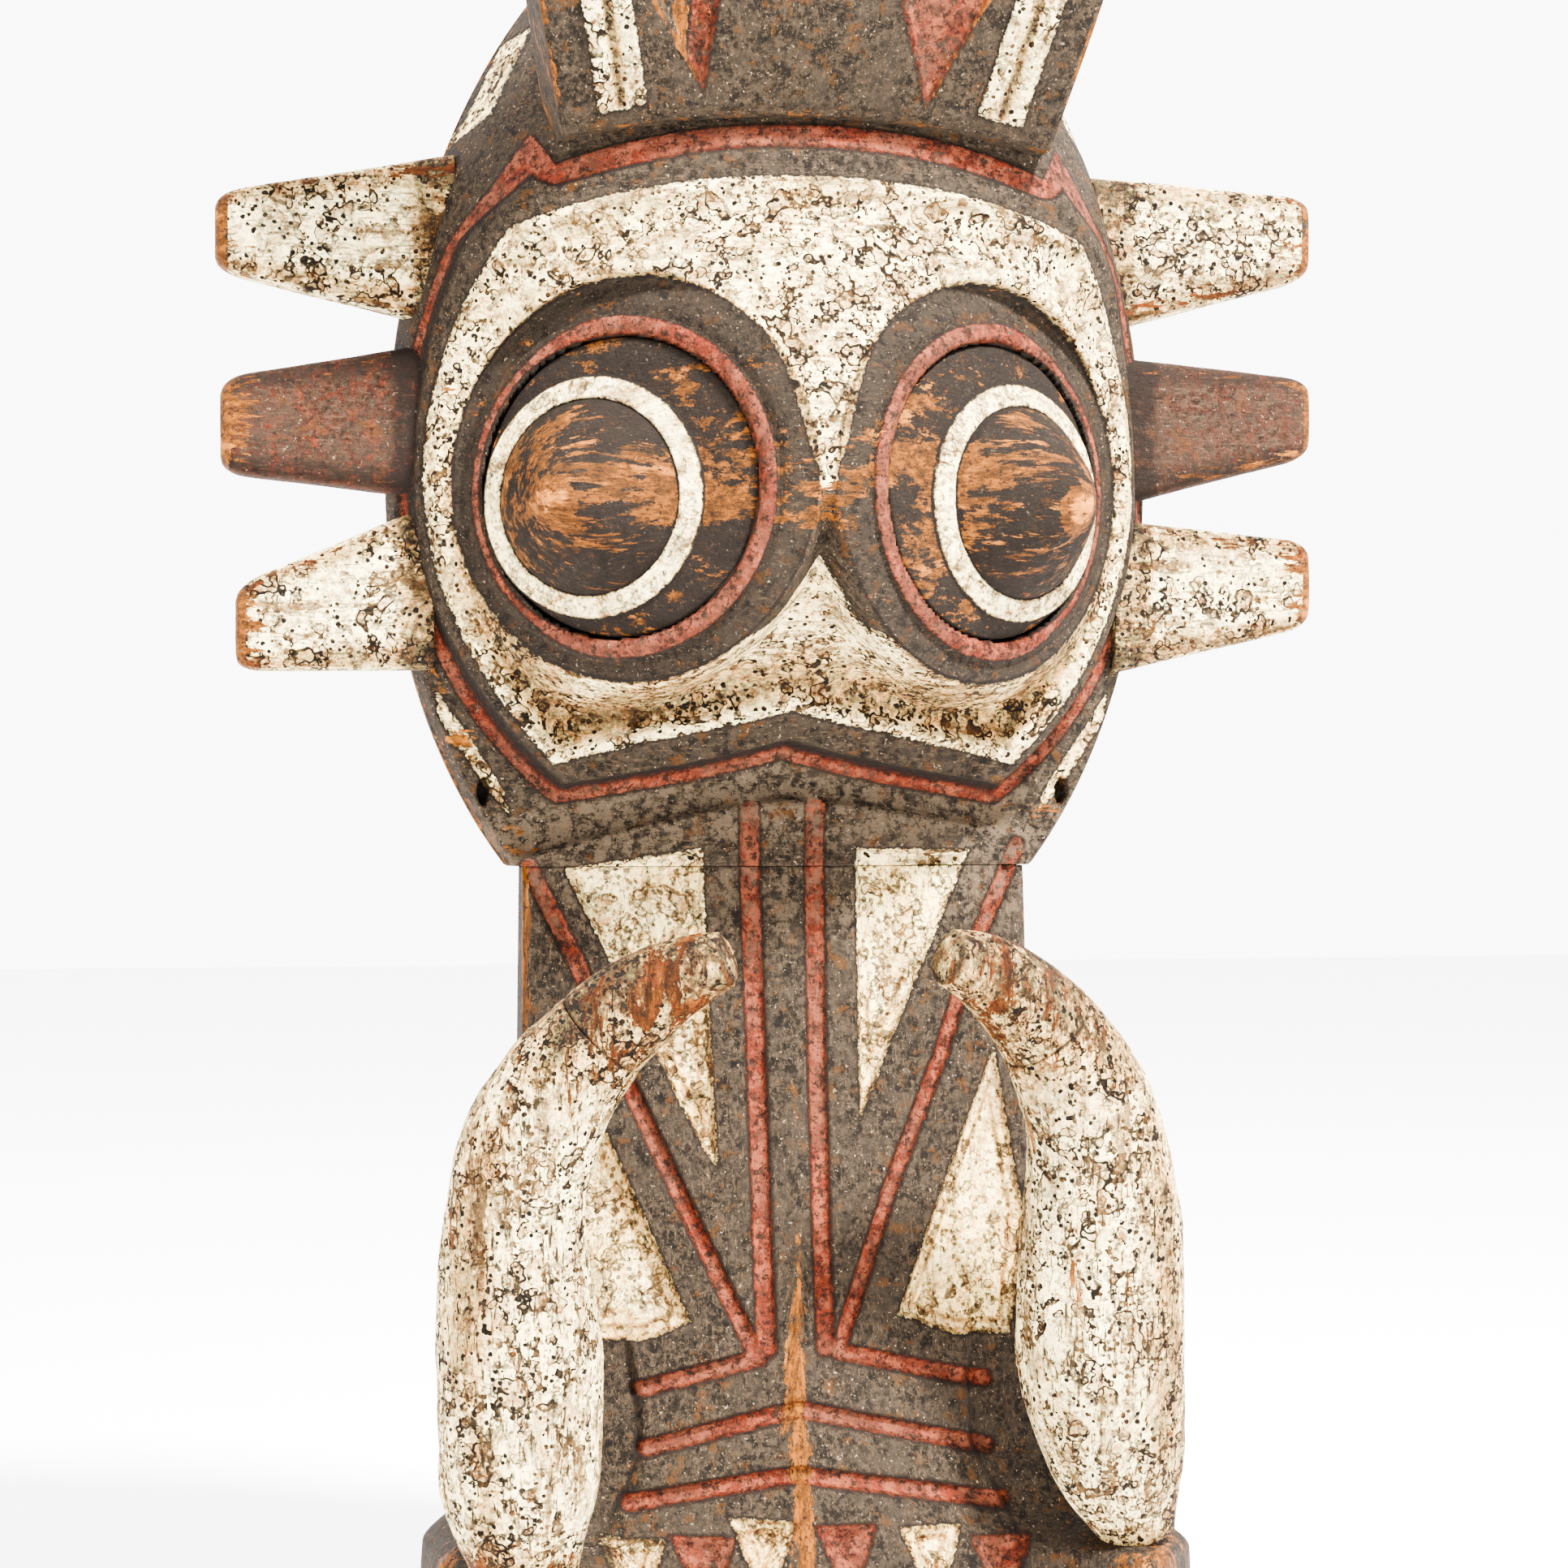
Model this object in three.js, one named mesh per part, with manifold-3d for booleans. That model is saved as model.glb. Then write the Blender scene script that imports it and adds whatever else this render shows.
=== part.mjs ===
// Carved wooden animal mask: a bulging face with two turned eyes, three spikes on each side,
// a leaning eared crest, and a long muzzle that carries two curved tusks.
// Millimetres, +Z up. The face looks towards -Y and the flat back lies in the plane y = 0.
// DEPTH is the distance in front of that plane, so a point at depth d has y = -d.
// The shapes are laid out with z = 0 near the eyes, and the whole mask is then moved so that
// the hanging point at the back of the forehead is the origin.

import * as THREE from 'three';
import { mergeVertices } from 'three/addons/utils/BufferGeometryUtils.js';
import Module from 'manifold-3d';

const wasm = await Module();
wasm.setup();

// ---- driving dimensions -------------------------------------------------------------------

const GAP = 0.3;                // clearance between pieces that touch
const HANGING_POINT_Z = 150;    // height of the origin above the eye line

const RIM_HALF_WIDTH = 157;
const RIM_TOP = 247;
const RIM_BOTTOM = -218;
const RIM_CENTRE_Z = -3;
const HEAD_END_Z = -158;        // the head is sawn off here, and the muzzle butts against it
const SIDE_WALL_HEIGHT = 130;
const SIDE_WALL_POWER = 0.6;

// Depth of the face plate along its middle line: [z, depth].
const FACE_PROFILE = [[-170, 31], [-125, 41], [-109, 46], [-94, 54], [-66, 82], [-38, 108],
  [-12, 127], [20, 123], [60, 111], [107, 94], [129, 90], [260, 60]];
const PLATE_EDGE_DEPTH = 15;
const PLATE_HALF_WIDTH = 158;
const PLATE_STEP = 12;          // how far the face plate stands proud of the head

const CAVITY = { halfWidth: 128, halfHeight: 124, centreZ: -20, depth: 70, power: 0.6, wall: 15 };
const LACING_HOLE = { x: 119, z: -128, width: 5, height: 11 };

const EYE = { x: 69, z: -8, depth: 89, tilt: THREE.MathUtils.degToRad(33), goggleRadius: 78 };
const BOSS = { shiftOut: 5.7, shiftDown: 3, radius: 57.5, seat: -14 };
const DOME = { shiftOut: 10.1, shiftDown: 4, outerRing: 46, innerRing: 38, height: 41 };

// Depth of the middle of every spike, and half its depth at the root and at the tip.
const SPIKE_DEPTH = { centre: 15, root: 13.5, tip: 10.5 };
// One entry for each spike: heights of its middle, and half its height, at the root and the tip,
// and how far out the tip reaches.
const SPIKES = [
  { name: 'spike_left_upper', side: -1, rootZ: 91, tipZ: 93, rootHalf: 35, tipHalf: 15.5, tipX: 225 },
  { name: 'spike_left_middle', side: -1, rootZ: 19.5, tipZ: 16.5, rootHalf: 30.5, tipHalf: 19, tipX: 223 },
  { name: 'spike_left_lower', side: -1, rootZ: -46.5, tipZ: -63.5, rootHalf: 33.5, tipHalf: 17, tipX: 217 },
  { name: 'spike_right_upper', side: 1, rootZ: 92, tipZ: 102, rootHalf: 33, tipHalf: 17, tipX: 225 },
  { name: 'spike_right_middle', side: 1, rootZ: 20, tipZ: 27, rootHalf: 31, tipHalf: 16.5, tipX: 225 },
  { name: 'spike_right_lower', side: 1, rootZ: -48, tipZ: -42, rootHalf: 32, tipHalf: 18, tipX: 225 },
];
const SPIKE_PEG_RADIUS = 3.5;
const SPIKE_HOUSING = 14;       // how far a spike's full section is let into the rim
const SPIKE_TENON = { length: 13, halfHeight: 12, halfDepth: 8 };

const CREST_FOOT = { z: 123, middleZ: 133, halfWidth: 96 };
const CREST_TOP_Z = 312;
const CREST_PEG = { x: 48, far: 78, aboveFoot: 22, radius: 5 };

const TONGUE = { halfWidth: 42, height: 22, near: 6, far: 18 };
const TONGUE_PEG = { x: 26, aboveEnd: 7, radius: 4 };
// The muzzle down its length: [z, value].
const MUZZLE_HALF_WIDTH = [[-492, 122], [-480, 140], [-455, 151], [-430, 150], [-412, 132],
  [-380, 112], [-320, 105], [-250, 104], [-158, 103]];
const MUZZLE_MIDDLE_X = [[-492, 8], [-425, 8], [-380, 2], [-330, 0], [-158, 0]];
const MUZZLE_RIDGE = [[-492, 66], [-480, 84], [-455, 97], [-430, 92], [-350, 66], [-250, 46],
  [-158, 30]];
const MUZZLE_EDGE = [[-492, 34], [-480, 46], [-455, 60], [-430, 62], [-412, 52], [-350, 38],
  [-250, 27], [-158, 20]];
// The swelling under each tusk's foot, and the heights over which it rises and dies away.
const FOOT_BOSS = { leftX: -109, rightX: 131, height: 44, width: 24, from: -414, to: -426, fade: -455 };
// The trough in the muzzle's back: [z, half-width, depth].
const TROUGH = [[-185, 60, 10], [-260, 66, 26], [-350, 70, 42], [-440, 80, 62]];

// Each tusk's middle line and radius from the foot to the cut tip: [x, depth, z, radius]. The two
// were carved from bent branches and don't match.
const TUSK_LINES = {
  left: [
    [-109, 88, -428, 20], [-113, 89, -388, 31], [-112.5, 91, -345, 32], [-115, 94, -290, 28],
    [-107.5, 99, -255, 25.5], [-89, 107, -226, 21.5], [-68, 117, -205, 17.5],
    [-52, 125, -195, 14], [-38, 131, -190, 10.5],
  ],
  right: [
    [133, 86, -421, 15], [123.5, 88.5, -389, 28], [115.5, 91, -343, 34], [115, 94, -292, 31.5],
    [109, 99, -255, 27], [94, 107, -226, 22], [74, 117, -205, 17.5],
    [58, 125, -195, 14], [44, 131, -190, 10.5],
  ],
};
const TUSK_FLATNESS = 0.9;      // depth of a tusk's section as a share of its width
const TUSK_JOINT_AT = 0.66;     // share of the length below the joint of the tip
const TUSK_TIP_PEG = { before: 0.06, after: 0.05, radius: 4 };
const TUSK_FOOT_PEG = { down: 22, up: 26, radius: 7 };

const EYE_PEG = { behindSeat: 9, front: 12, radius: 6 };
const PEG_SIDES = 10;
const OPEN_END = 4;             // extra length of a peg hole that comes out at the back

// ---- solids and meshes --------------------------------------------------------------------

function toSolid(geometry) {
  const plain = geometry.clone();
  plain.deleteAttribute('normal');
  plain.deleteAttribute('uv');
  const merged = mergeVertices(plain, 1e-4);
  return new wasm.Manifold(new wasm.Mesh({
    numProp: 3,
    vertProperties: new Float32Array(merged.attributes.position.array),
    triVerts: new Uint32Array(merged.index.array),
  }));
}

function toGeometry(solid) {
  const { numProp, vertProperties, triVerts } = solid.getMesh();
  const positions = new Float32Array(vertProperties.length / numProp * 3);
  for (let i = 0; i < positions.length / 3; i += 1) {
    for (let k = 0; k < 3; k += 1) positions[3 * i + k] = vertProperties[numProp * i + k];
  }
  const geometry = new THREE.BufferGeometry();
  geometry.setAttribute('position', new THREE.BufferAttribute(positions, 3));
  geometry.setIndex(new THREE.BufferAttribute(new Uint32Array(triVerts), 1));
  return geometry;
}

function signedVolume(points, faces) {
  let total = 0;
  const cross = new THREE.Vector3();
  for (const [a, b, c] of faces) {
    total += points[a].dot(cross.crossVectors(points[b], points[c])) / 6;
  }
  return total;
}

// A closed solid through rings of equal length. Each end is a fan about the ring's middle.
function loft(rings) {
  const count = rings[0].length;
  const points = rings.flat();
  const faces = [];
  for (let r = 0; r + 1 < rings.length; r += 1) {
    for (let i = 0; i < count; i += 1) {
      const a = r * count + i;
      const b = r * count + (i + 1) % count;
      faces.push([a, b, b + count], [a, b + count, a + count]);
    }
  }
  const capEnd = (ring, first, flip) => {
    const middle = new THREE.Vector3();
    for (const point of ring) middle.addScaledVector(point, 1 / count);
    points.push(middle);
    for (let i = 0; i < count; i += 1) {
      const a = first + i;
      const b = first + (i + 1) % count;
      faces.push(flip ? [points.length - 1, b, a] : [points.length - 1, a, b]);
    }
  };
  capEnd(rings[0], 0, true);
  capEnd(rings[rings.length - 1], (rings.length - 1) * count, false);
  if (signedVolume(points, faces) < 0) faces.forEach((face) => face.reverse());
  const geometry = new THREE.BufferGeometry();
  geometry.setAttribute('position', new THREE.Float32BufferAttribute(
    points.flatMap((point) => [point.x, point.y, point.z]), 3));
  geometry.setIndex(faces.flat());
  return toSolid(geometry);
}

function box(x0, x1, depth0, depth1, z0, z1) {
  const geometry = new THREE.BoxGeometry(x1 - x0, depth1 - depth0, z1 - z0);
  geometry.translate((x0 + x1) / 2, -(depth0 + depth1) / 2, (z0 + z1) / 2);
  return toSolid(geometry);
}

// A round peg from one point to another.
function peg(from, to, radius, sides = PEG_SIDES) {
  const length = from.distanceTo(to);
  const geometry = new THREE.CylinderGeometry(radius, radius, length, sides);
  const along = to.clone().sub(from).normalize();
  geometry.applyQuaternion(new THREE.Quaternion().setFromUnitVectors(new THREE.Vector3(0, 1, 0), along));
  const middle = from.clone().add(to).multiplyScalar(0.5);
  geometry.translate(middle.x, middle.y, middle.z);
  return toSolid(geometry);
}

// The hole for a peg: the same axis, wider by the gap, and longer by the gap at the far end and
// by the near end's allowance, which is larger where the hole comes out at the back.
function pegHole(from, to, radius, allowance = GAP) {
  const along = to.clone().sub(from).normalize();
  const start = from.clone().addScaledVector(along, -allowance);
  return peg(start, to.clone().addScaledVector(along, GAP), radius + GAP);
}

function place(x, depth, z) {
  return new THREE.Vector3(x, -depth, z);
}

// ---- curves -------------------------------------------------------------------------------

// A smooth curve through [at, value] pairs, without overshoot between them.
function profile(pairs, at) {
  const last = pairs.length - 1;
  if (at <= pairs[0][0]) return pairs[0][1];
  if (at >= pairs[last][0]) return pairs[last][1];
  const slope = (i) => (pairs[i + 1][1] - pairs[i][1]) / (pairs[i + 1][0] - pairs[i][0]);
  const tangent = (i) => {
    if (i === 0) return slope(0);
    if (i === last) return slope(last - 1);
    const before = slope(i - 1);
    const after = slope(i);
    return before * after <= 0 ? 0 : 2 * before * after / (before + after);
  };
  let i = 0;
  while (at > pairs[i + 1][0]) i += 1;
  const step = pairs[i + 1][0] - pairs[i][0];
  const t = (at - pairs[i][0]) / step;
  return pairs[i][1] * (1 + 2 * t) * (1 - t) ** 2 + pairs[i + 1][1] * t * t * (3 - 2 * t)
    + step * (tangent(i) * t * (1 - t) ** 2 - tangent(i + 1) * t * t * (1 - t));
}

// Rises smoothly from 0 at the first place to 1 at the second, whichever is lower.
function smoothStep(from, to, at) {
  return THREE.MathUtils.smoothstep((at - from) / (to - from), 0, 1);
}

// ---- head ---------------------------------------------------------------------------------

function rimHalfHeight(z) {
  return z > RIM_CENTRE_Z ? RIM_TOP - RIM_CENTRE_Z : RIM_CENTRE_Z - RIM_BOTTOM;
}

function rimHalfWidthAt(z) {
  return RIM_HALF_WIDTH * Math.sqrt(Math.max(0, 1 - ((z - RIM_CENTRE_Z) / rimHalfHeight(z)) ** 2));
}

// Depth of the head's outside, which falls to the back plane at the rim.
function sideWallDepth(x, z) {
  const reach = (x / RIM_HALF_WIDTH) ** 2 + ((z - RIM_CENTRE_Z) / rimHalfHeight(z)) ** 2;
  return SIDE_WALL_HEIGHT * Math.max(0, 1 - reach) ** SIDE_WALL_POWER;
}

// Depth of the face plate: arched across, fullest across the brow and the chin.
function plateDepth(x, z) {
  const power = 1 - 0.55 * smoothStep(40, 130, z) - 0.5 * smoothStep(-60, -110, z);
  const across = Math.max(0, 1 - (x / PLATE_HALF_WIDTH) ** 2) ** power;
  return PLATE_EDGE_DEPTH + (profile(FACE_PROFILE, z) - PLATE_EDGE_DEPTH) * across;
}

// A solid from the back plane up to a depth function, over a scaled rim outline.
function domedSolid(depthAt, halfWidth, centreZ, top, bottom, segments, ringCount) {
  const rings = [];
  for (let r = 0; r <= ringCount; r += 1) {
    const scale = (1 - r / (ringCount + 0.6)) ** 0.75;
    rings.push(Array.from({ length: segments }, (_, i) => {
      const angle = 2 * Math.PI * i / segments;
      const x = halfWidth * scale * Math.cos(angle);
      const z = centreZ + scale * Math.sin(angle) * (Math.sin(angle) > 0 ? top - centreZ : centreZ - bottom);
      return place(x, r === 0 ? 0 : Math.max(0.5, depthAt(x, z)), z);
    }));
  }
  return loft(rings);
}

// Outline of the raised face plate: an arched brow with a small peak at each end, full cheeks,
// and a chin line that rises to the middle.
function plateOutline() {
  const shape = new THREE.Shape();
  shape.moveTo(0, 130);
  shape.bezierCurveTo(40, 130, 70, 124, 97, 114);
  shape.lineTo(105, 128);
  shape.bezierCurveTo(133, 95, 148, 45, 148, -5);
  shape.bezierCurveTo(148, -45, 132, -90, 89, -126);
  shape.bezierCurveTo(60, -121, 30, -117, 0, -108);
  shape.bezierCurveTo(-30, -117, -60, -121, -89, -126);
  shape.bezierCurveTo(-132, -90, -148, -45, -148, -5);
  shape.bezierCurveTo(-148, 45, -133, 95, -105, 128);
  shape.lineTo(-97, 114);
  shape.bezierCurveTo(-70, 124, -40, 130, 0, 130);
  return shape;
}

// Turns a solid made around +Z, with its foot at the goggle's middle, to face along an eye's axis.
function turnToEye(geometry, side, shiftOut, shiftDown) {
  geometry.rotateX(Math.PI / 2);
  geometry.translate(shiftOut * side, 0, -shiftDown);
  geometry.rotateZ(EYE.tilt * side);
  geometry.translate(EYE.x * side, -EYE.depth, EYE.z);
  return toSolid(geometry);
}

function eyeCylinder(radius, low, high, side, shiftOut = 0, shiftDown = 0, sides = 48) {
  const geometry = new THREE.CylinderGeometry(radius, radius, high - low, sides);
  geometry.rotateX(Math.PI / 2);
  geometry.translate(0, 0, (low + high) / 2);
  return turnToEye(geometry, side, shiftOut, shiftDown);
}

// The space behind the face, which keeps a wall in front of it.
function hollowDepth(x, z) {
  const { halfWidth, halfHeight, centreZ, depth, power, wall } = CAVITY;
  const reach = (x / halfWidth) ** 2 + ((z - centreZ) / halfHeight) ** 2;
  return Math.min(depth * Math.max(0, 1 - reach) ** power, plateDepth(x, z) - PLATE_STEP - wall);
}

function faceShell(cuts) {
  const behindPlate = (x, z) => Math.min(sideWallDepth(x, z), plateDepth(x, z) - PLATE_STEP);
  let shell = domedSolid(behindPlate, RIM_HALF_WIDTH, RIM_CENTRE_Z, RIM_TOP, RIM_BOTTOM, 56, 12);
  const plateTop = (x, z) => Math.min(sideWallDepth(x, z) + 2, plateDepth(x, z));
  const dome = domedSolid(plateTop, RIM_HALF_WIDTH, RIM_CENTRE_Z, RIM_TOP, RIM_BOTTOM, 56, 16);
  const extrusion = { depth: 200, bevelEnabled: false, curveSegments: 9 };
  const border = new THREE.ExtrudeGeometry(plateOutline(), extrusion);
  border.rotateX(Math.PI / 2);
  shell = shell.add(dome.intersect(toSolid(border)));
  for (const side of [-1, 1]) {
    shell = shell.subtract(eyeCylinder(EYE.goggleRadius, 0, 70, side));
    shell = shell.add(eyeCylinder(EYE.goggleRadius, -26, 0, side));
    const socket = eyeCylinder(BOSS.radius + GAP, BOSS.seat - GAP, 70, side, BOSS.shiftOut, BOSS.shiftDown);
    shell = shell.subtract(socket);
  }
  const cavity = domedSolid(hollowDepth, CAVITY.halfWidth, CAVITY.centreZ,
    CAVITY.centreZ + CAVITY.halfHeight, CAVITY.centreZ - CAVITY.halfHeight, 36, 8);
  shell = shell.subtract(cavity.translate([0, 0.5, 0])).subtract(cavity);
  for (const side of [-1, 1]) {
    const { x, z, width, height } = LACING_HOLE;
    const left = side * x - width / 2;
    shell = shell.subtract(box(left, left + width, -5, 90, z - height / 2, z + height / 2));
  }
  shell = shell.subtract(box(-200, 200, -20, 250, -260, HEAD_END_Z));
  for (const cut of cuts) shell = shell.subtract(cut);
  return shell;
}

// ---- eyes ---------------------------------------------------------------------------------

// A round boss with a domed pupil that sits off its middle, low and to the outside.
function eyeBoss(side) {
  const { outerRing, innerRing, height } = DOME;
  const levels = [
    [BOSS.radius, BOSS.seat, 0], [BOSS.radius, -3, 0], [BOSS.radius - 3, -1, 0.1],
    [outerRing + 1, 2, 1], [outerRing, 5, 1], [innerRing, 5, 1], [innerRing - 1, 11, 1],
    [innerRing - 6, 20, 1], [innerRing - 15, 30, 1], [innerRing - 25, 37, 1], [5, height, 1],
  ];
  const sides = 40;
  const rings = levels.map(([radius, level, shift]) => Array.from({ length: sides }, (_, i) => {
    const angle = 2 * Math.PI * i / sides;
    return new THREE.Vector3(
      radius * Math.cos(angle) + side * DOME.shiftOut * shift,
      radius * Math.sin(angle) - DOME.shiftDown * shift,
      level);
  }));
  return turnToEye(toGeometry(loft(rings)), side, BOSS.shiftOut, BOSS.shiftDown);
}

function eyePegEnds(side) {
  const axis = new THREE.Vector3(side * Math.sin(EYE.tilt), -Math.cos(EYE.tilt), 0);
  const across = new THREE.Vector3(side * Math.cos(EYE.tilt), Math.sin(EYE.tilt), 0);
  const foot = place(EYE.x * side, EYE.depth, EYE.z - BOSS.shiftDown).addScaledVector(across, BOSS.shiftOut);
  return [
    foot.clone().addScaledVector(axis, BOSS.seat - EYE_PEG.behindSeat),
    foot.clone().addScaledVector(axis, EYE_PEG.front),
  ];
}

// ---- spikes -------------------------------------------------------------------------------

// Section of a spike: a square with well rounded corners, across depth and height.
function roundedSection(x, depth, z, halfDepth, halfHeight, sides = 16) {
  const squareness = 0.55;
  return Array.from({ length: sides }, (_, i) => {
    const angle = 2 * Math.PI * i / sides;
    const round = (value) => Math.sign(value) * Math.abs(value) ** squareness;
    return place(x, depth + halfDepth * round(Math.cos(angle)), z + halfHeight * round(Math.sin(angle)));
  });
}

function spikeBody(spike, grow) {
  const rootX = rimHalfWidthAt(spike.rootZ) - SPIKE_HOUSING - grow;
  const reach = spike.tipX - rootX;
  const stations = [[0, 1], [0.35, 1], [0.7, 1], [0.94, 1], [1, 0.72]];
  return loft(stations.map(([at, swell]) => {
    const half = THREE.MathUtils.lerp(spike.rootHalf, spike.tipHalf, at) * swell + grow;
    const halfDepth = THREE.MathUtils.lerp(SPIKE_DEPTH.root, SPIKE_DEPTH.tip, at) * swell + grow;
    const z = THREE.MathUtils.lerp(spike.rootZ, spike.tipZ, at);
    return roundedSection(spike.side * (rootX + reach * at), SPIKE_DEPTH.centre, z, halfDepth, half);
  }));
}

function spikeTenon(spike, grow) {
  const rootX = rimHalfWidthAt(spike.rootZ) - SPIKE_HOUSING;
  const inner = spike.side * (rootX - SPIKE_TENON.length - grow);
  const outer = spike.side * (rootX + 4);
  const { halfDepth, halfHeight } = SPIKE_TENON;
  return box(Math.min(inner, outer), Math.max(inner, outer),
    SPIKE_DEPTH.centre - halfDepth - grow, SPIKE_DEPTH.centre + halfDepth + grow,
    spike.rootZ - halfHeight - grow, spike.rootZ + halfHeight + grow);
}

function spikePegEnds(spike) {
  const x = spike.side * (rimHalfWidthAt(spike.rootZ) - SPIKE_HOUSING - SPIKE_TENON.length / 2);
  const far = SPIKE_DEPTH.centre + SPIKE_TENON.halfDepth - 3;
  return [place(x, 1, spike.rootZ), place(x, far, spike.rootZ)];
}

// ---- crest --------------------------------------------------------------------------------

// Front face of the crest: it leans forward from its foot and eases upright towards the ears.
function crestFrontDepth(z) {
  const rise = z - CREST_FOOT.z;
  return 90 + 0.62 * rise - 0.0013 * rise * rise;
}

function crestThickness(z) {
  return THREE.MathUtils.lerp(46, 20, (z - CREST_FOOT.z) / (CREST_TOP_Z - CREST_FOOT.z));
}

// Front view of the crest: a flaring board that ends in two pointed ears.
function crestOutline(grow) {
  const shape = new THREE.Shape();
  const bottom = CREST_FOOT.z - 10;
  const foot = CREST_FOOT.halfWidth + grow;
  shape.moveTo(-foot, bottom);
  shape.lineTo(foot, bottom);
  shape.bezierCurveTo(106 + grow, 165, 116 + grow, 200, 122 + grow, 235);
  shape.bezierCurveTo(126 + grow, 270, 116, 298, 98, CREST_TOP_Z);
  shape.bezierCurveTo(70, 300, 45, 268, 34, 238);
  shape.bezierCurveTo(20, 226, -20, 226, -34, 238);
  shape.bezierCurveTo(-45, 268, -70, 300, -98, CREST_TOP_Z);
  shape.bezierCurveTo(-116, 298, -126 - grow, 270, -122 - grow, 235);
  shape.bezierCurveTo(-116 - grow, 200, -106 - grow, 165, -foot, bottom);
  return shape;
}

// The leaning board, as a stack of level slices from the foot to the ear tips.
function crestSlab(grow) {
  const rings = [];
  const steps = 12;
  for (let i = 0; i <= steps; i += 1) {
    const z = THREE.MathUtils.lerp(CREST_FOOT.z - 12, CREST_TOP_Z + 8, i / steps);
    const front = crestFrontDepth(z) + grow;
    const back = front - crestThickness(z) - 2 * grow;
    rings.push([place(-140, back, z), place(140, back, z), place(140, front, z), place(-140, front, z)]);
  }
  return loft(rings);
}

function crestFootArch(grow) {
  const rise = CREST_FOOT.middleZ - CREST_FOOT.z;
  const radius = (CREST_FOOT.halfWidth ** 2 + rise ** 2) / (2 * rise);
  const geometry = new THREE.CylinderGeometry(radius - grow, radius - grow, 400, 160);
  geometry.translate(0, 0, CREST_FOOT.middleZ - radius);
  return toSolid(geometry);
}

function crestBody(grow) {
  const extrusion = { depth: 300, bevelEnabled: false, curveSegments: 6 };
  const outline = new THREE.ExtrudeGeometry(crestOutline(grow), extrusion);
  outline.rotateX(Math.PI / 2);
  return toSolid(outline).intersect(crestSlab(grow)).subtract(crestFootArch(grow));
}

// ---- muzzle -------------------------------------------------------------------------------

// Depth of the muzzle's front: a low gable, with a boss under each tusk.
function muzzleDepth(x, z) {
  const fromMiddle = Math.abs(x - profile(MUZZLE_MIDDLE_X, z));
  const ridge = profile(MUZZLE_RIDGE, z);
  const edge = profile(MUZZLE_EDGE, z);
  const across = Math.min(1, fromMiddle / profile(MUZZLE_HALF_WIDTH, z));
  const { leftX, rightX, height, width, from, to, fade } = FOOT_BOSS;
  const fromFoot = Math.min(Math.abs(x - leftX), Math.abs(x - rightX));
  const share = smoothStep(from, to, z) * (1 - 0.55 * smoothStep(fade, MUZZLE_RIDGE[0][0], z));
  return ridge - (ridge - edge) * across ** 1.15 + height * share * Math.exp(-((fromFoot / width) ** 2));
}

function muzzleBody() {
  const levels = [HEAD_END_Z - GAP, -190, -235, -280, -320, -355, -385, -405, -414, -420, -426,
    -440, -455, -470, -483, MUZZLE_RIDGE[0][0]];
  const across = 22;
  return loft(levels.map((z) => {
    const halfWidth = profile(MUZZLE_HALF_WIDTH, z);
    const middle = profile(MUZZLE_MIDDLE_X, z);
    const ring = [place(middle + halfWidth, 0, z), place(middle - halfWidth, 0, z)];
    for (let i = 0; i <= across; i += 1) {
      const x = middle + halfWidth * (2 * i / across - 1);
      ring.push(place(x, muzzleDepth(x, z), z));
    }
    return ring;
  }));
}

// The trough hollowed into the muzzle's back, shallow at the neck and deeper at the snout.
function muzzleTrough() {
  return loft(TROUGH.map(([z, halfWidth, depth]) => [
    place(-halfWidth, -5, z), place(halfWidth, -5, z),
    place(halfWidth, depth * 0.45, z), place(halfWidth * 0.6, depth * 0.9, z),
    place(-halfWidth * 0.6, depth * 0.9, z), place(-halfWidth, depth * 0.45, z),
  ]));
}

function tongue(grow) {
  return box(-TONGUE.halfWidth - grow, TONGUE.halfWidth + grow, TONGUE.near - grow, TONGUE.far + grow,
    HEAD_END_Z - 4, HEAD_END_Z + TONGUE.height + grow);
}

function tonguePegEnds(side) {
  const z = HEAD_END_Z + TONGUE_PEG.aboveEnd;
  return [place(side * TONGUE_PEG.x, 1, z), place(side * TONGUE_PEG.x, TONGUE.far + 2, z)];
}

// ---- tusks --------------------------------------------------------------------------------

function tuskCurve(sideName) {
  const points = TUSK_LINES[sideName].map(([x, depth, z]) => place(x, depth, z));
  return new THREE.CatmullRomCurve3(points, false, 'centripetal');
}

// A stretch of a tusk between two shares of its length.
function tuskStretch(sideName, from, to, steps, grow) {
  const curve = tuskCurve(sideName);
  const last = TUSK_LINES[sideName].length - 1;
  const radii = TUSK_LINES[sideName].map(([, , , radius], i) => [i / last, radius]);
  const sides = 18;
  return loft(Array.from({ length: steps + 1 }, (_, s) => {
    const t = THREE.MathUtils.lerp(from, to, s / steps);
    const centre = curve.getPoint(t);
    const along = curve.getTangent(t);
    const right = new THREE.Vector3(0, -1, 0).cross(along).normalize();
    const front = along.clone().cross(right).normalize();
    const radius = profile(radii, t) + grow;
    return Array.from({ length: sides }, (_unused, i) => {
      const angle = 2 * Math.PI * i / sides;
      return centre.clone().addScaledVector(right, radius * Math.cos(angle))
        .addScaledVector(front, TUSK_FLATNESS * radius * Math.sin(angle));
    });
  }));
}

function tuskTipPegEnds(sideName) {
  const curve = tuskCurve(sideName);
  return [
    curve.getPoint(TUSK_JOINT_AT - TUSK_TIP_PEG.before),
    curve.getPoint(TUSK_JOINT_AT + TUSK_TIP_PEG.after),
  ];
}

function tuskFootPegEnds(sideName) {
  const foot = tuskCurve(sideName).getPoint(0);
  return [
    foot.clone().add(new THREE.Vector3(0, 0, -TUSK_FOOT_PEG.down)),
    foot.clone().add(new THREE.Vector3(0, 0, TUSK_FOOT_PEG.up)),
  ];
}

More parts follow.
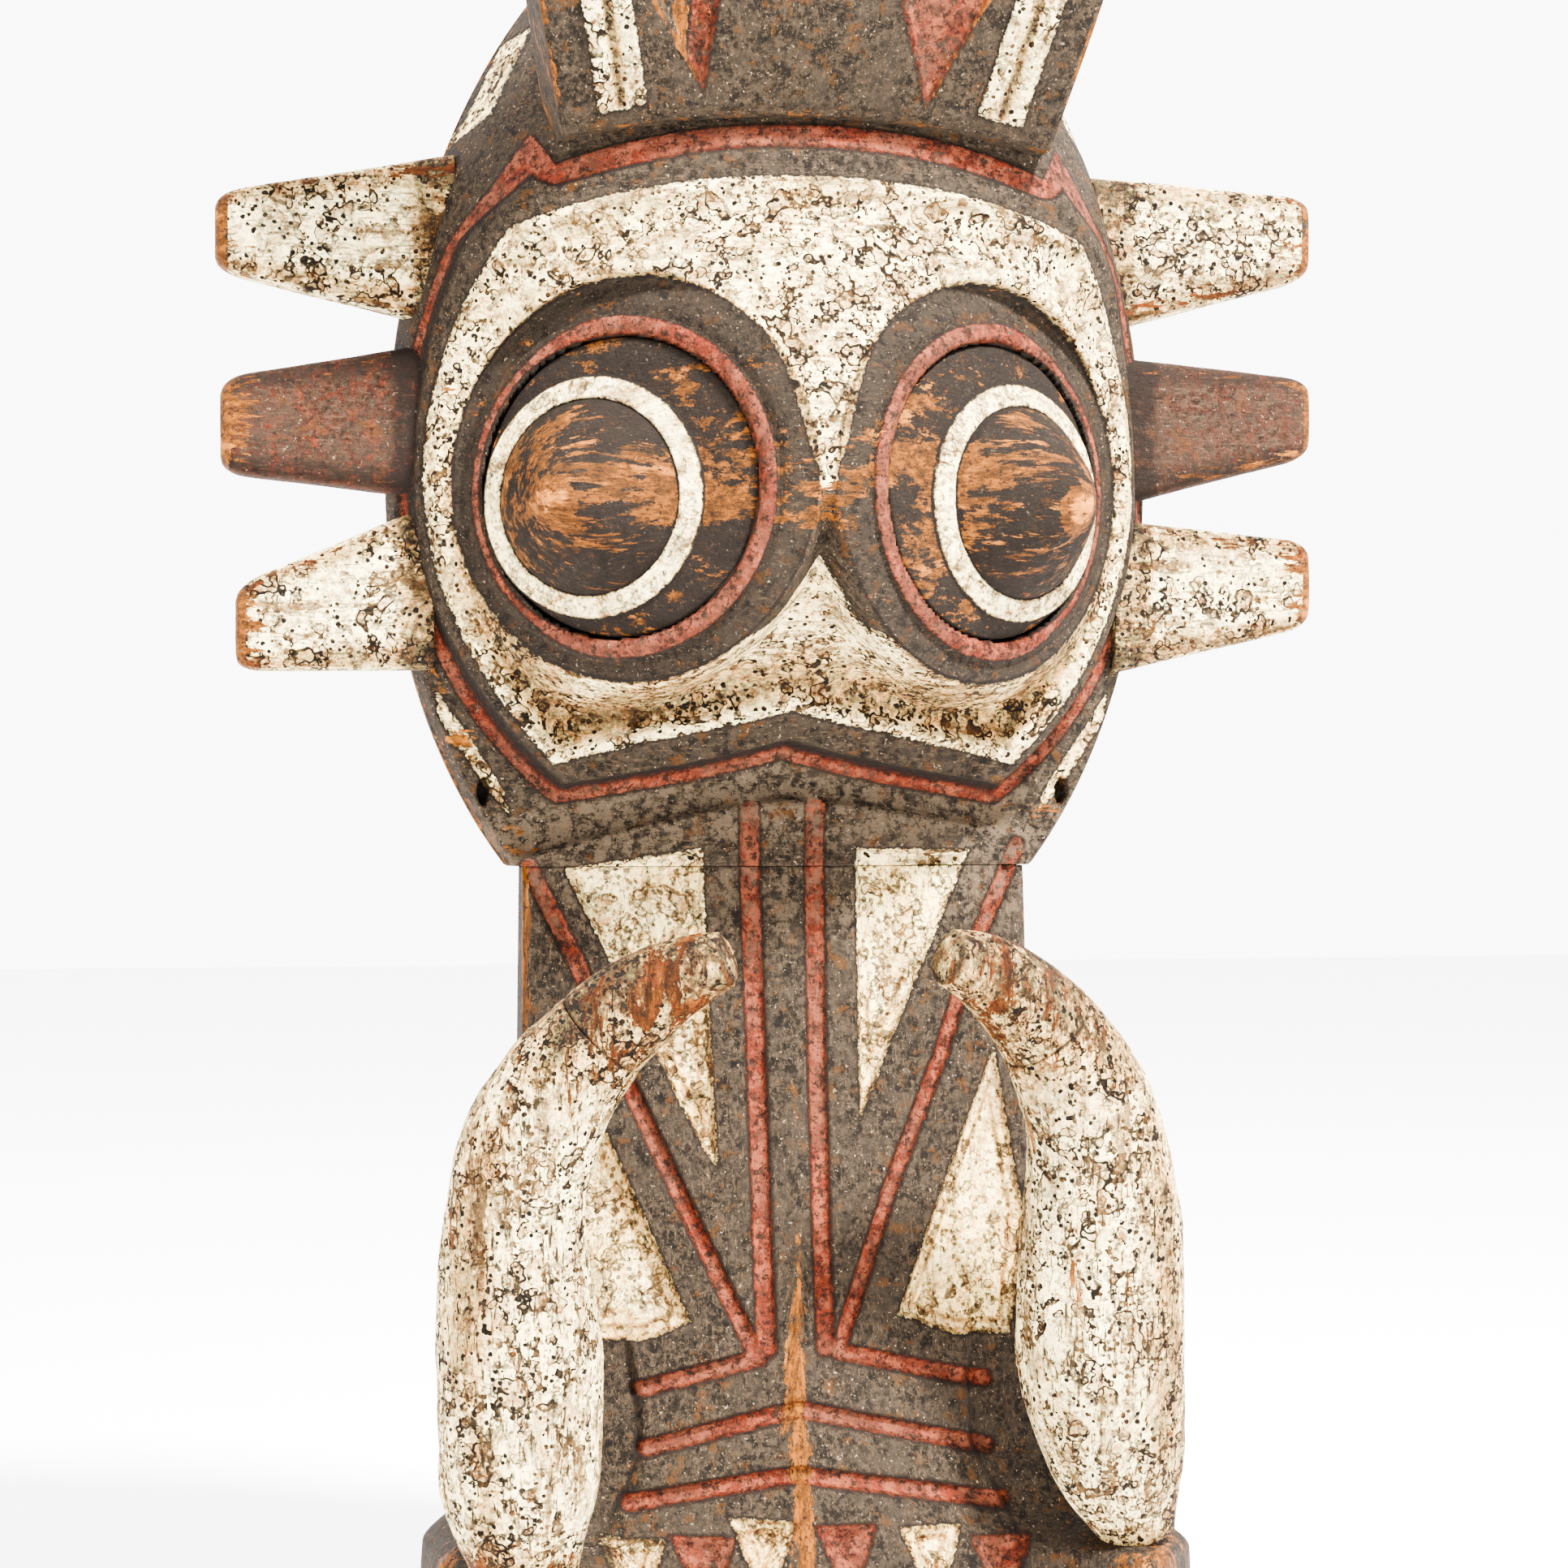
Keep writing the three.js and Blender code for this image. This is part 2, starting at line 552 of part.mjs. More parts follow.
// ---- assembly -----------------------------------------------------------------------------

const FINISHES = {
  blackened_wood: { color: 0x4a4038, roughness: 0.85 },
  red_wood: { color: 0xa5422f, roughness: 0.85 },
  white_wood: { color: 0xe2d8c4, roughness: 0.9 },
  bare_wood: { color: 0xb98450, roughness: 0.7 },
};

const mask = new THREE.Group();
mask.position.z = -HANGING_POINT_Z;

function addPiece(name, solid, finish) {
  const material = new THREE.MeshStandardMaterial({ ...FINISHES[finish], metalness: 0 });
  const mesh = new THREE.Mesh(toGeometry(solid), material);
  mesh.name = name;
  mask.add(mesh);
}

const headCuts = [];
const muzzleCuts = [];

const SIDES = { left: -1, right: 1 };

for (const [sideName, side] of Object.entries(SIDES)) {
  const ends = eyePegEnds(side);
  const hole = pegHole(...ends, EYE_PEG.radius);
  addPiece(`eye_${sideName}`, eyeBoss(side).subtract(hole), 'blackened_wood');
  addPiece(`eye_peg_${sideName}`, peg(...ends, EYE_PEG.radius), 'bare_wood');
  headCuts.push(hole);
}

const SHAFT_STEPS = 12;
const SHAFT_END = TUSK_JOINT_AT - 0.002;
for (const sideName of Object.keys(SIDES)) {
  const tipEnds = tuskTipPegEnds(sideName);
  const footEnds = tuskFootPegEnds(sideName);
  const tipHole = pegHole(...tipEnds, TUSK_TIP_PEG.radius);
  const footHole = pegHole(...footEnds, TUSK_FOOT_PEG.radius);
  const shaft = tuskStretch(sideName, 0, SHAFT_END, SHAFT_STEPS, 0);
  const tip = tuskStretch(sideName, TUSK_JOINT_AT, 1, 7, 0);
  addPiece(`tusk_${sideName}`, shaft.subtract(tipHole).subtract(footHole), 'white_wood');
  addPiece(`tusk_tip_${sideName}`, tip.subtract(tipHole), 'white_wood');
  addPiece(`tusk_tip_peg_${sideName}`, peg(...tipEnds, TUSK_TIP_PEG.radius), 'bare_wood');
  addPiece(`tusk_foot_peg_${sideName}`, peg(...footEnds, TUSK_FOOT_PEG.radius), 'bare_wood');
  const housing = tuskStretch(sideName, 0, SHAFT_END, SHAFT_STEPS, GAP);
  muzzleCuts.push(housing, housing.translate([0, 0, -GAP]), footHole);
}

for (const spike of SPIKES) {
  const ends = spikePegEnds(spike);
  const hole = pegHole(...ends, SPIKE_PEG_RADIUS, OPEN_END);
  const body = spikeBody(spike, 0).add(spikeTenon(spike, 0)).subtract(hole);
  addPiece(spike.name, body, spike.name.endsWith('middle') ? 'red_wood' : 'white_wood');
  addPiece(spike.name.replace('spike', 'spike_peg'), peg(...ends, SPIKE_PEG_RADIUS), 'bare_wood');
  headCuts.push(spikeBody(spike, GAP), spikeTenon(spike, GAP), hole);
}

let crest = crestBody(0);
headCuts.push(crestBody(GAP));
for (const [sideName, side] of Object.entries(SIDES)) {
  const x = side * CREST_PEG.x;
  const z = CREST_FOOT.z + CREST_PEG.aboveFoot;
  const ends = [place(x, 1, z), place(x, CREST_PEG.far, z)];
  const hole = pegHole(...ends, CREST_PEG.radius, OPEN_END);
  addPiece(`crest_peg_${sideName}`, peg(...ends, CREST_PEG.radius), 'bare_wood');
  crest = crest.subtract(hole);
  headCuts.push(hole);
}
addPiece('crest', crest, 'blackened_wood');

let muzzle = muzzleBody().subtract(muzzleTrough()).add(tongue(0));
headCuts.push(tongue(GAP));
for (const [sideName, side] of Object.entries(SIDES)) {
  const ends = tonguePegEnds(side);
  const hole = pegHole(...ends, TONGUE_PEG.radius, OPEN_END);
  addPiece(`muzzle_peg_${sideName}`, peg(...ends, TONGUE_PEG.radius), 'bare_wood');
  muzzle = muzzle.subtract(hole);
  headCuts.push(hole);
}
for (const cut of muzzleCuts) muzzle = muzzle.subtract(cut);
addPiece('muzzle', muzzle, 'blackened_wood');

addPiece('face_shell', faceShell(headCuts), 'blackened_wood');

export default mask;
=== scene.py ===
"""Carved and painted wooden animal mask. Lengths are worked out in millimetres in the carver's own
layout, with height 0 at the eye line and depth measured forward from the flat back, and the meshes
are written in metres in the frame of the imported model."""

import math

import bpy
import numpy as np
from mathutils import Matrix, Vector


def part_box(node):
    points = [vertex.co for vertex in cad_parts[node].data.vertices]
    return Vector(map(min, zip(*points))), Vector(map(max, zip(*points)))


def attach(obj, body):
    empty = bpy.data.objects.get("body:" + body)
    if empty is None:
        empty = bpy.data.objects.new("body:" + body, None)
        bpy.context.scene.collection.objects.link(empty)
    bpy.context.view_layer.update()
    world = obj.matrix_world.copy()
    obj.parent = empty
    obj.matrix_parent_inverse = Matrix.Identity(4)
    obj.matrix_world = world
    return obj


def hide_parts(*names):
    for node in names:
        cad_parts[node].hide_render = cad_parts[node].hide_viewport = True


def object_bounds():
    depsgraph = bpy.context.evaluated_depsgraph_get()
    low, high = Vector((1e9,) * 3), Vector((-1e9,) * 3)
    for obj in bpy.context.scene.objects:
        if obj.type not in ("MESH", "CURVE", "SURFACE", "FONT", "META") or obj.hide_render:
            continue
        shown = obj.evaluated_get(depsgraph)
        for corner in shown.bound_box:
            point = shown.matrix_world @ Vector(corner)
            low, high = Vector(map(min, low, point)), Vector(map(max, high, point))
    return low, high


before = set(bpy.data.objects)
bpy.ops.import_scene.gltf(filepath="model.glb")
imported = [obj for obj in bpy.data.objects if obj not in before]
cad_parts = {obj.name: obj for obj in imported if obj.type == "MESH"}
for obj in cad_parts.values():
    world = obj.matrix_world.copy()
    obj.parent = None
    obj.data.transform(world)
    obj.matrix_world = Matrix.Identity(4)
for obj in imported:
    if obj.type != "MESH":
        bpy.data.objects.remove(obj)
cad_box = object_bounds()

# ---- driving dimensions ---------------------------------------------------------------------

MM = 0.001
head_low, head_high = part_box("face_shell")
muzzle_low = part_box("muzzle")[0]

RIM_TOP = 247
LIFT = head_high.z / MM - RIM_TOP               # from the layout's heights to the frame's
RIM_HALF_WIDTH = (head_high.x - head_low.x) / 2 / MM
HEAD_END_Z = head_low.z / MM - LIFT
RIM_BOTTOM = -218
RIM_CENTRE_Z = -3
RIM_EDGE = 6

WALL_DEPTH, PLATE_HALF_WIDTH, PLATE_EDGE_DEPTH = 130, 158, 15
FACE_PROFILE = [[-170, 31], [-125, 41], [-109, 46], [-94, 54], [-66, 82], [-38, 108],
                [-12, 127], [20, 123], [60, 111], [107, 94], [129, 90], [260, 60]]
EYE_X, EYE_Z, EYE_DEPTH, EYE_TILT = 69, -8, 89, math.radians(33)
GOGGLE_RADIUS, RED_RING_RADIUS = 78, 62
BOSS_OUT, BOSS_DOWN, BOSS_RADIUS, BOSS_SEAT = 5.7, 3, 57.5, -14
DOME_OUT, DOME_DOWN, DOME_HEIGHT = 10.1, 4, 41
RING_OUTER, RING_INNER = 46, 38

CAVITY_HALF_WIDTH, CAVITY_HALF_HEIGHT, CAVITY_CENTRE_Z = 128, 124, -20
CAVITY_DEPTH, FACE_THICKNESS = 70, 27
LACING_X, LACING_Z, LACING_HALF_WIDTH, LACING_HALF_HEIGHT = 119, -128, 2.5, 5.6

TUSK_COLLAR_X = (-109, 131)                     # middles of the swellings that hold the tusks' feet
MUZZLE_TOP_Z = -158.3
MUZZLE_END_Z = muzzle_low.z / MM - LIFT
MUZZLE_HALF_WIDTH = [[-492, 122], [-480, 140], [-455, 151], [-430, 150], [-412, 132], [-380, 112],
                     [-320, 105], [-250, 104], [-158, 103]]
MUZZLE_MIDDLE_X = [[-492, 8], [-425, 8], [-380, 2], [-330, 0], [-158, 0]]
MUZZLE_RIDGE = [[-492, 66], [-480, 84], [-455, 97], [-430, 92], [-350, 66], [-250, 46], [-158, 30]]
MUZZLE_EDGE = [[-492, 34], [-480, 46], [-455, 60], [-430, 62], [-412, 52], [-350, 38], [-250, 27],
               [-158, 20]]
CREST_FOOT_Z, CREST_FOOT_MIDDLE_Z, CREST_HALF_WIDTH = 123, 133, 96
CREST_TOP_Z = 312
CREST_FOOT_THICKNESS, CREST_TOP_THICKNESS = 46, 20

# Place across, depth, height and radius along each tusk, from its foot to its cut tip.
TUSK_LINES = {
    "left": [[-109, 88, -428, 20], [-113, 89, -388, 31], [-112.5, 91, -345, 32], [-115, 94, -290, 28],
             [-107.5, 99, -255, 25.5], [-89, 107, -226, 21.5], [-68, 117, -205, 17.5],
             [-52, 125, -195, 14], [-38, 131, -190, 10.5]],
    "right": [[133, 86, -421, 15], [123.5, 88.5, -389, 28], [115.5, 91, -343, 34],
              [115, 94, -292, 31.5], [109, 99, -255, 27], [94, 107, -226, 22],
              [74, 117, -205, 17.5], [58, 125, -195, 14], [44, 131, -190, 10.5]],
}
TUSK_JOINT_AT = 0.66

FAR = 9                                         # a distance well inside a painted area

STUDIO_LIGHT = 5.0                              # brightness of the studio at the mask
# How the film mixes red, green and blue light before its curve acts on them.
FILM_MIXING = ((0.8425, 0.0784, 0.0792), (0.0423, 0.8785, 0.0792), (0.0424, 0.0784, 0.8791))
FILM_STOPS = (-12.474, 4.026)                   # darkest and brightest stops the film holds

# How much red, green and blue a full coat of each stain lets through; the grey and rusty stains go where the
# soiling field is, so they also paint shade into creases, grooves and recesses.
WARM_TINT = (1.0, 0.80, 0.46)
GREY_STAIN_AND_SHADE = (0.34, 0.26, 0.15)
RUSTY_STAIN_AND_SHADE = (0.42, 0.22, 0.07)

# ---- helpers --------------------------------------------------------------------------------


def profile(pairs, at):
    """A smooth curve through [at, value] pairs, without overshoot between them."""
    xs, ys = np.array(sorted(pairs), float).T
    at = np.clip(np.asarray(at, float), xs[0], xs[-1])
    slope = np.diff(ys) / np.diff(xs)
    tangent = np.concatenate(([slope[0]], np.zeros(len(xs) - 2), [slope[-1]]))
    for k in range(1, len(xs) - 1):
        before, after = slope[k - 1], slope[k]
        if before * after > 0:
            tangent[k] = 2 * before * after / (before + after)
    i = np.clip(np.searchsorted(xs, at) - 1, 0, len(xs) - 2)
    step = xs[i + 1] - xs[i]
    t = (at - xs[i]) / step
    return (ys[i] * (1 + 2 * t) * (1 - t) ** 2 + ys[i + 1] * t * t * (3 - 2 * t)
            + step * (tangent[i] * t * (1 - t) ** 2 - tangent[i + 1] * t * t * (1 - t)))


def rise(start, end, at):
    """Smoothly from 0 at the first place to 1 at the second, whichever is lower."""
    t = np.clip((np.asarray(at, float) - start) / (end - start), 0, 1)
    return t * t * (3 - 2 * t)


def bump(at, centre, width):
    """A bell curve, 1 high at its centre."""
    return np.exp(-(((at - centre) / width) ** 2))


def lerp(a, b, t):
    return a + (b - a) * t


def hashed(cell, seed):
    """A repeatable random number from 0 to 1 for each whole-numbered cell."""
    mixed = cell[..., 0] * 73856093 ^ cell[..., 1] * 19349663 ^ cell[..., 2] * 83492791 ^ seed * 8191
    mixed = (mixed ^ (mixed >> 15)) * 224682251 & 0xffffffff
    mixed = (mixed ^ (mixed >> 13)) * 326648991 & 0xffffffff
    return (mixed ^ (mixed >> 16)) / 0xffffffff


def wobble(points, size, seed=0, octaves=3):
    """Smooth noise from about -1 to 1 at each point, with features of that size in millimetres."""
    total, weight = np.zeros(len(points)), 0.8
    for octave in range(octaves):
        place = points / size * 2 ** octave + 31.7 * seed
        cell = np.floor(place).astype(np.int64)
        share = place - cell
        share = share * share * (3 - 2 * share)
        value = np.zeros(len(points))
        for corner in np.ndindex(2, 2, 2):
            weights = np.prod(np.where(corner, share, 1 - share), axis=1)
            value += weights * hashed(cell + np.array(corner), seed + octave)
        total += weight * (2 * value - 1)
        weight *= 0.5
    return total


def facets(points, size, seed=0):
    """Distance to the nearest of scattered points: shallow dishes like the marks of an adze."""
    place = points / size + 31.7 * seed
    cell = np.floor(place).astype(np.int64)
    best = np.full(len(points), 9.0)
    for offset in np.ndindex(3, 3, 3):
        near = cell + np.array(offset) - 1
        spot = near + np.stack([hashed(near, seed + k) for k in (1, 2, 3)], -1)
        best = np.minimum(best, np.sum((place - spot) ** 2, axis=1))
    return np.sqrt(best)


def polygon_distance(x, z, outline):
    """Distance to a closed outline in the front view, positive inside it."""
    shape = np.shape(x)
    px, pz = np.ravel(x), np.ravel(z)
    a = np.asarray(outline, float)
    b = np.roll(a, -1, axis=0)
    best = np.full(px.shape, 1e9)
    inside = np.zeros(px.shape, bool)
    for (ax, az), (bx, bz) in zip(a, b):
        ex, ez = bx - ax, bz - az
        length = ex * ex + ez * ez
        if length < 1e-9:
            continue
        t = np.clip(((px - ax) * ex + (pz - az) * ez) / length, 0, 1)
        best = np.minimum(best, np.hypot(px - ax - t * ex, pz - az - t * ez))
        crosses = (az > pz) != (bz > pz)
        if abs(ez) > 1e-9:
            inside ^= crosses & (px < ax + (pz - az) * ex / ez)
    return np.where(inside, best, -best).reshape(shape)


def line_distance(x, z, points):
    """Distance to an open line of straight stretches in the front view."""
    best = np.full(np.shape(x), 1e9)
    for (ax, az), (bx, bz) in zip(points[:-1], points[1:]):
        ex, ez = bx - ax, bz - az
        t = np.clip(((x - ax) * ex + (z - az) * ez) / (ex * ex + ez * ez), 0, 1)
        best = np.minimum(best, np.hypot(x - ax - t * ex, z - az - t * ez))
    return best


def bezier(p0, p1, p2, p3, count=14):
    """Points along a cubic curve, all but its last."""
    t = np.linspace(0, 1, count, endpoint=False)[:, None]
    p0, p1, p2, p3 = (np.array(p, float) for p in (p0, p1, p2, p3))
    return (p0 * (1 - t) ** 3 + 3 * p1 * t * (1 - t) ** 2 + 3 * p2 * t * t * (1 - t) + p3 * t ** 3)


def mirrored(half):
    """A closed outline from its right half, listed from the top middle to the bottom middle."""
    half = np.asarray(half, float)
    return np.vstack([half, (half * [-1, 1])[::-1]])


def grid_faces(rows, columns, first=0, close=False, flip=False):
    """Four-sided faces of a grid of points; close joins the last column to the first."""
    r = np.arange(rows - 1)[:, None]
    c = np.arange(columns if close else columns - 1)[None, :]
    n = (c + 1) % columns
    quads = np.stack(np.broadcast_arrays(r * columns + c, r * columns + n,
                                         (r + 1) * columns + n, (r + 1) * columns + c), -1)
    quads = quads.reshape(-1, 4) + first
    return (quads[:, ::-1] if flip else quads).tolist()


def border(rows, columns):
    """Indices of the outer edge of a grid of points, in order."""
    index = np.arange(rows * columns).reshape(rows, columns)
    return np.concatenate([index[0, :-1], index[:-1, -1], index[-1, :0:-1], index[:0:-1, 0]])


def listed(x, depth, z):
    """The points of a grid, one after another."""
    return np.stack([np.ravel(x), np.ravel(depth), np.ravel(z)], -1)


def tube_fields(**rings):
    """Paint fields of a capped tube: their values along its rings, with each end's mean for its cap."""
    return {key: np.append(np.ravel(values), [values[0].mean(), values[-1].mean()])
            for key, values in rings.items()}


def joined_fields(counts, **sections):
    """Paint fields of a mesh made of sections: for each section its values, or one value for all."""
    return {key: np.concatenate([np.broadcast_to(np.ravel(values), count)
                                 for values, count in zip(parts, counts)])
            for key, parts in sections.items()}


def make_piece(name, points, faces, replaced, material, fields):
    """A smooth-shaded mesh from points in the layout's x, depth and height, and its paint fields."""
    points = np.asarray(points, float)
    placed = np.stack([points[:, 0], -points[:, 1], points[:, 2] + LIFT], -1) * MM
    mesh = bpy.data.meshes.new(name)
    mesh.from_pydata(placed.tolist(), [], [list(map(int, face)) for face in faces])
    mesh.validate()
    mesh.shade_smooth()
    for key, values in fields.items():
        layer = mesh.attributes.new(key, "FLOAT", "POINT")
        layer.data.foreach_set("value", np.asarray(values, np.float32))
    mesh.update()
    piece = bpy.data.objects.new(name, mesh)
    bpy.context.scene.collection.objects.link(piece)
    mesh.materials.append(material)
    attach(piece, "root")
    for node in replaced:
        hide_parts(node)
    return piece


def turn(steps):
    """Evenly spaced angles of one full turn."""
    return np.linspace(0, 2 * math.pi, steps, endpoint=False)


def capped_rings(rings):
    """Points and faces of a closed tube through rings, each end closed about its middle."""
    count, around, _ = rings.shape
    points = np.vstack([rings.reshape(-1, 3), rings[0].mean(0), rings[-1].mean(0)])
    faces = grid_faces(count, around, close=True)
    low, high = count * around, count * around + 1
    last = (count - 1) * around
    for i in range(around):
        j = (i + 1) % around
        faces.append([low, j, i])
        faces.append([high, last + i, last + j])
    return points, outward(points, faces)


def outward(points, faces):
    """The faces, turned over if they look inwards once depth has become the frame's -y."""
    corners = points[np.array([face[:3] for face in faces])] - points.mean(0)
    volume = np.sum(corners[:, 0] * np.cross(corners[:, 1], corners[:, 2]))
    return [face[::-1] for face in faces] if volume > 0 else faces


# ---- materials ------------------------------------------------------------------------------


class Nodes:
    """Short calls that add and link the shader nodes of a material or of the world."""

    def __init__(self, owner):
        self.owner = owner
        owner.use_nodes = True
        self.tree = owner.node_tree
        self.tree.nodes.clear()
        self.coordinates = self.scaled_coordinates((1000, 1000, 1000))

    def node(self, kind, inputs, **settings):
        made = self.tree.nodes.new("ShaderNode" + kind)
        for key, value in settings.items():
            setattr(made, key, value)
        for key, value in inputs.items():
            socket = made.inputs[key]
            if isinstance(value, bpy.types.NodeSocket):
                self.tree.links.new(value, socket)
            elif socket.type == "RGBA":
                socket.default_value = (*value, 1)
            else:
                socket.default_value = value
        return made

    def scaled_coordinates(self, scale):
        source = self.node("TexCoord", {}).outputs["Object"]
        return self.node("Mapping", {"Vector": source, "Scale": scale}).outputs["Vector"]

    def noise(self, size, detail=4.0, roughness=0.55, coordinates=None):
        return self.node("TexNoise", {"Vector": coordinates or self.coordinates, "Scale": 1 / size,
                                      "Detail": detail, "Roughness": roughness}).outputs["Fac"]

    def cells(self, size):
        return self.node("TexVoronoi", {"Vector": self.coordinates, "Scale": 1 / size}).outputs["Distance"]

    def field(self, name):
        return self.node("Attribute", {}, attribute_name=name).outputs["Fac"]

    def math(self, operation, a, b):
        return self.node("Math", {0: a, 1: b}, operation=operation).outputs[0]

    def plus(self, a, b):
        return self.math("ADD", a, b)

    def times(self, a, b):
        return self.math("MULTIPLY", a, b)

    def rest(self, share):
        return self.math("SUBTRACT", 1.0, share)

    def total(self, *weighted):
        """The sum of some values, each times its weight."""
        parts = [value if weight == 1 else self.times(value, weight) for value, weight in weighted]
        result = parts[0]
        for part in parts[1:]:
            result = self.plus(result, part)
        return result

    def ramp(self, value, low, high, to_low=0.0, to_high=1.0):
        if low > high:
            low, high, to_low, to_high = high, low, to_high, to_low
        ends = {"From Min": low, "From Max": high, "To Min": to_low, "To Max": to_high}
        made = self.node("MapRange", {"Value": value, **ends}, interpolation_type="SMOOTHSTEP")
        return made.outputs["Result"]

    def mix(self, share, a, b, blend="MIX"):
        made = self.node("Mix", {"Factor": share, 6: a, 7: b}, data_type="RGBA", blend_type=blend)
        return made.outputs[2]

    def coats(self, tone, *layers):
        """Paint of one tone under others, each where its noise rises from one level to another."""
        body = shade(*tone)
        for noise, low, high, share, layer_tone in layers:
            body = self.mix(self.ramp(noise, low, high, 0, share), body, shade(*layer_tone))
        return body

    def finish(self, colour, roughness, height, bump_mm, specular=0.025):
        relief = self.node("Bump", {"Distance": bump_mm * MM, "Strength": 1.0, "Height": height})
        shader = self.node("BsdfPrincipled", {
            "Base Color": colour, "Roughness": roughness, "Specular IOR Level": specular,
            "Normal": relief.outputs["Normal"]})
        self.node("OutputMaterial", {"Surface": shader.outputs[0]})
        return self.owner


def srgb(red, green, blue):
    """A linear colour from 0 to 255 values."""
    return tuple((v / 255 / 12.92) if v / 255 <= 0.04045 else ((v / 255 + 0.055) / 1.055) ** 2.4
                 for v in (red, green, blue))


def film_curve(x):
    """How bright the film shows a share x of its range of stops."""
    return 15.5 * x**6 - 40.14 * x**5 + 31.96 * x**4 - 6.868 * x**3 + 0.4298 * x**2 + 0.1191 * x


def shade(red, green, blue):
    """The paint that is seen as 0 to 255 values once the studio light and the film have acted."""
    mixing = np.array(FILM_MIXING)
    wanted = mixing @ (np.array((red, green, blue)) / 255)
    shares = np.linspace(0, 0.99, 2000)
    stops = np.interp(wanted, film_curve(shares), shares) * (FILM_STOPS[1] - FILM_STOPS[0]) + FILM_STOPS[0]
    light = np.linalg.inv(mixing) @ (2 ** stops)
    return tuple(float(v) for v in np.clip(light / STUDIO_LIGHT, 0.001, 0.97))


def black_pigment(n, along):
    """Weathered black: a fine grain of dust over dark brown, with scuffs, soot and pale flecks, which are
    partly dust and partly painted glints.
    """
    return n.coats((38, 32, 25),
                   (n.noise(3.0, 6, 0.82), 0.42, 0.60, 1.0, (114, 96, 76)),
                   (n.noise(22, 5, 0.65), 0.42, 0.60, 0.6, (92, 78, 62)),
                   (n.noise(7, 6, 0.75), 0.53, 0.60, 0.85, (33, 28, 23)),
                   (n.noise(1.1, 5, 0.7, along), 0.56, 0.64, 0.5, (150, 126, 98)),
                   (n.noise(8, 5, 0.65), 0.57, 0.65, 0.6, (134, 86, 40)),
                   # Pale flecks: dust, and painted glints that stand in for the sheen of the black.
                   (n.noise(1.6, 4, 0.7), 0.645, 0.67, 0.8, (206, 190, 168)))


def red_pigment(n):
    """Terracotta, dusty and rubbed pinkish in places and darkened in others."""
    return n.coats((108, 54, 39),
                   (n.noise(2.8, 6, 0.8), 0.38, 0.60, 1.0, (176, 82, 56)),
                   (n.noise(7, 5, 0.7), 0.46, 0.58, 0.75, (196, 128, 98)),
                   (n.noise(34, 4, 0.65), 0.42, 0.60, 0.45, (150, 104, 80)),
                   (n.noise(3.4, 6, 0.8), 0.51, 0.57, 0.9, (54, 38, 29)))


def white_pigment(n):
    """Crusty cream kaolin, thin in places, with warm stains."""
    return n.coats((246, 238, 221),
                   (n.noise(4.5, 6, 0.78), 0.46, 0.62, 1.0, (223, 199, 158)),
                   (n.noise(26, 4, 0.6), 0.48, 0.62, 0.6, (214, 186, 146)),
                   (n.noise(9, 6, 0.75), 0.56, 0.63, 0.75, (144, 106, 64)),
                   (n.noise(2.6, 5, 0.78), 0.50, 0.58, 0.8, (247, 242, 230)))


def bare_wood(n, grain):
    """Oiled orange-brown wood with dark streaks along the grain."""
    along = n.scaled_coordinates(grain)
    return n.coats((198, 136, 64),
                   (n.noise(3, 5, 0.7, along), 0.38, 0.60, 1.0, (142, 88, 36)),
                   (n.noise(1.2, 5, 0.7, along), 0.50, 0.60, 0.75, (92, 54, 22)),
                   (n.noise(2.8, 6, 0.78), 0.55, 0.61, 0.9, (44, 34, 28)),
                   (n.noise(9, 4, 0.6, along), 0.56, 0.66, 0.6, (228, 180, 108)))


def blisters(n, size, level, amount, dense):
    """Closed brown-edged loops, as dried drops leave in thick paint: their edges and insides."""
    field = n.noise(size, 2.0, 0.5)
    rim = n.times(n.ramp(field, level - 0.03, level - 0.014), n.ramp(field, level + 0.034, level + 0.018))
    inside = n.ramp(field, level, level + 0.02)
    return n.times(n.times(rim, dense), amount), n.times(n.times(inside, dense), 0.5 * amount)


def crusted(n, colour, spots):
    """Specks, scabs and blisters of old paint, and how far they stand out."""
    dense = n.ramp(n.noise(24, 3, 0.5), 0.36, 0.50, 0.35, 1.0)
    height = n.times(n.ramp(n.noise(4.2, 6, 0.8), 0.555, 0.585), dense)
    scab = n.times(height, 0.92 * spots)
    for size, level in ((5.5, 0.572), (9.5, 0.60)):
        rim, inside = blisters(n, size, level, spots, dense)
        colour = n.mix(inside, colour, shade(196, 158, 108))
        colour = n.mix(rim, colour, shade(36, 27, 19))
        height = n.math("MAXIMUM", height, rim)
    uneven = n.total((n.cells(3.4), 1), (n.noise(4.5, 3, 0.6), 0.9))
    speck = n.times(n.ramp(uneven, 0.74, 0.68), n.ramp(n.noise(10, 3, 0.6), 0.40, 0.46))
    colour = n.mix(scab, colour, shade(72, 54, 36))
    return n.mix(n.times(speck, spots), colour, shade(36, 28, 21)), height


def stained_cream(n, along, ragged, spots, streaks, warm):
    """Crusty cream paint with blotches, streaks along the grain and a warm cast, and its pits."""
    cream, pits = crusted(n, white_pigment(n), spots)
    blotch = n.total((n.noise(9, 6, 0.7, along), 1), (ragged, 0.5))
    cream = n.mix(n.ramp(blotch, 0.51, 0.64, 0, min(0.9, 1.2 * streaks)), cream, shade(168, 134, 86))
    streak = n.ramp(n.noise(1.6, 5, 0.7, along), 0.53, 0.61, 0, streaks)
    cream = n.mix(streak, cream, shade(96, 76, 50))
    warmth = n.ramp(n.noise(34, 4, 0.6), 0.35, 0.60, 0.4 * warm, warm)
    return n.mix(warmth, cream, WARM_TINT, "MULTIPLY"), pits


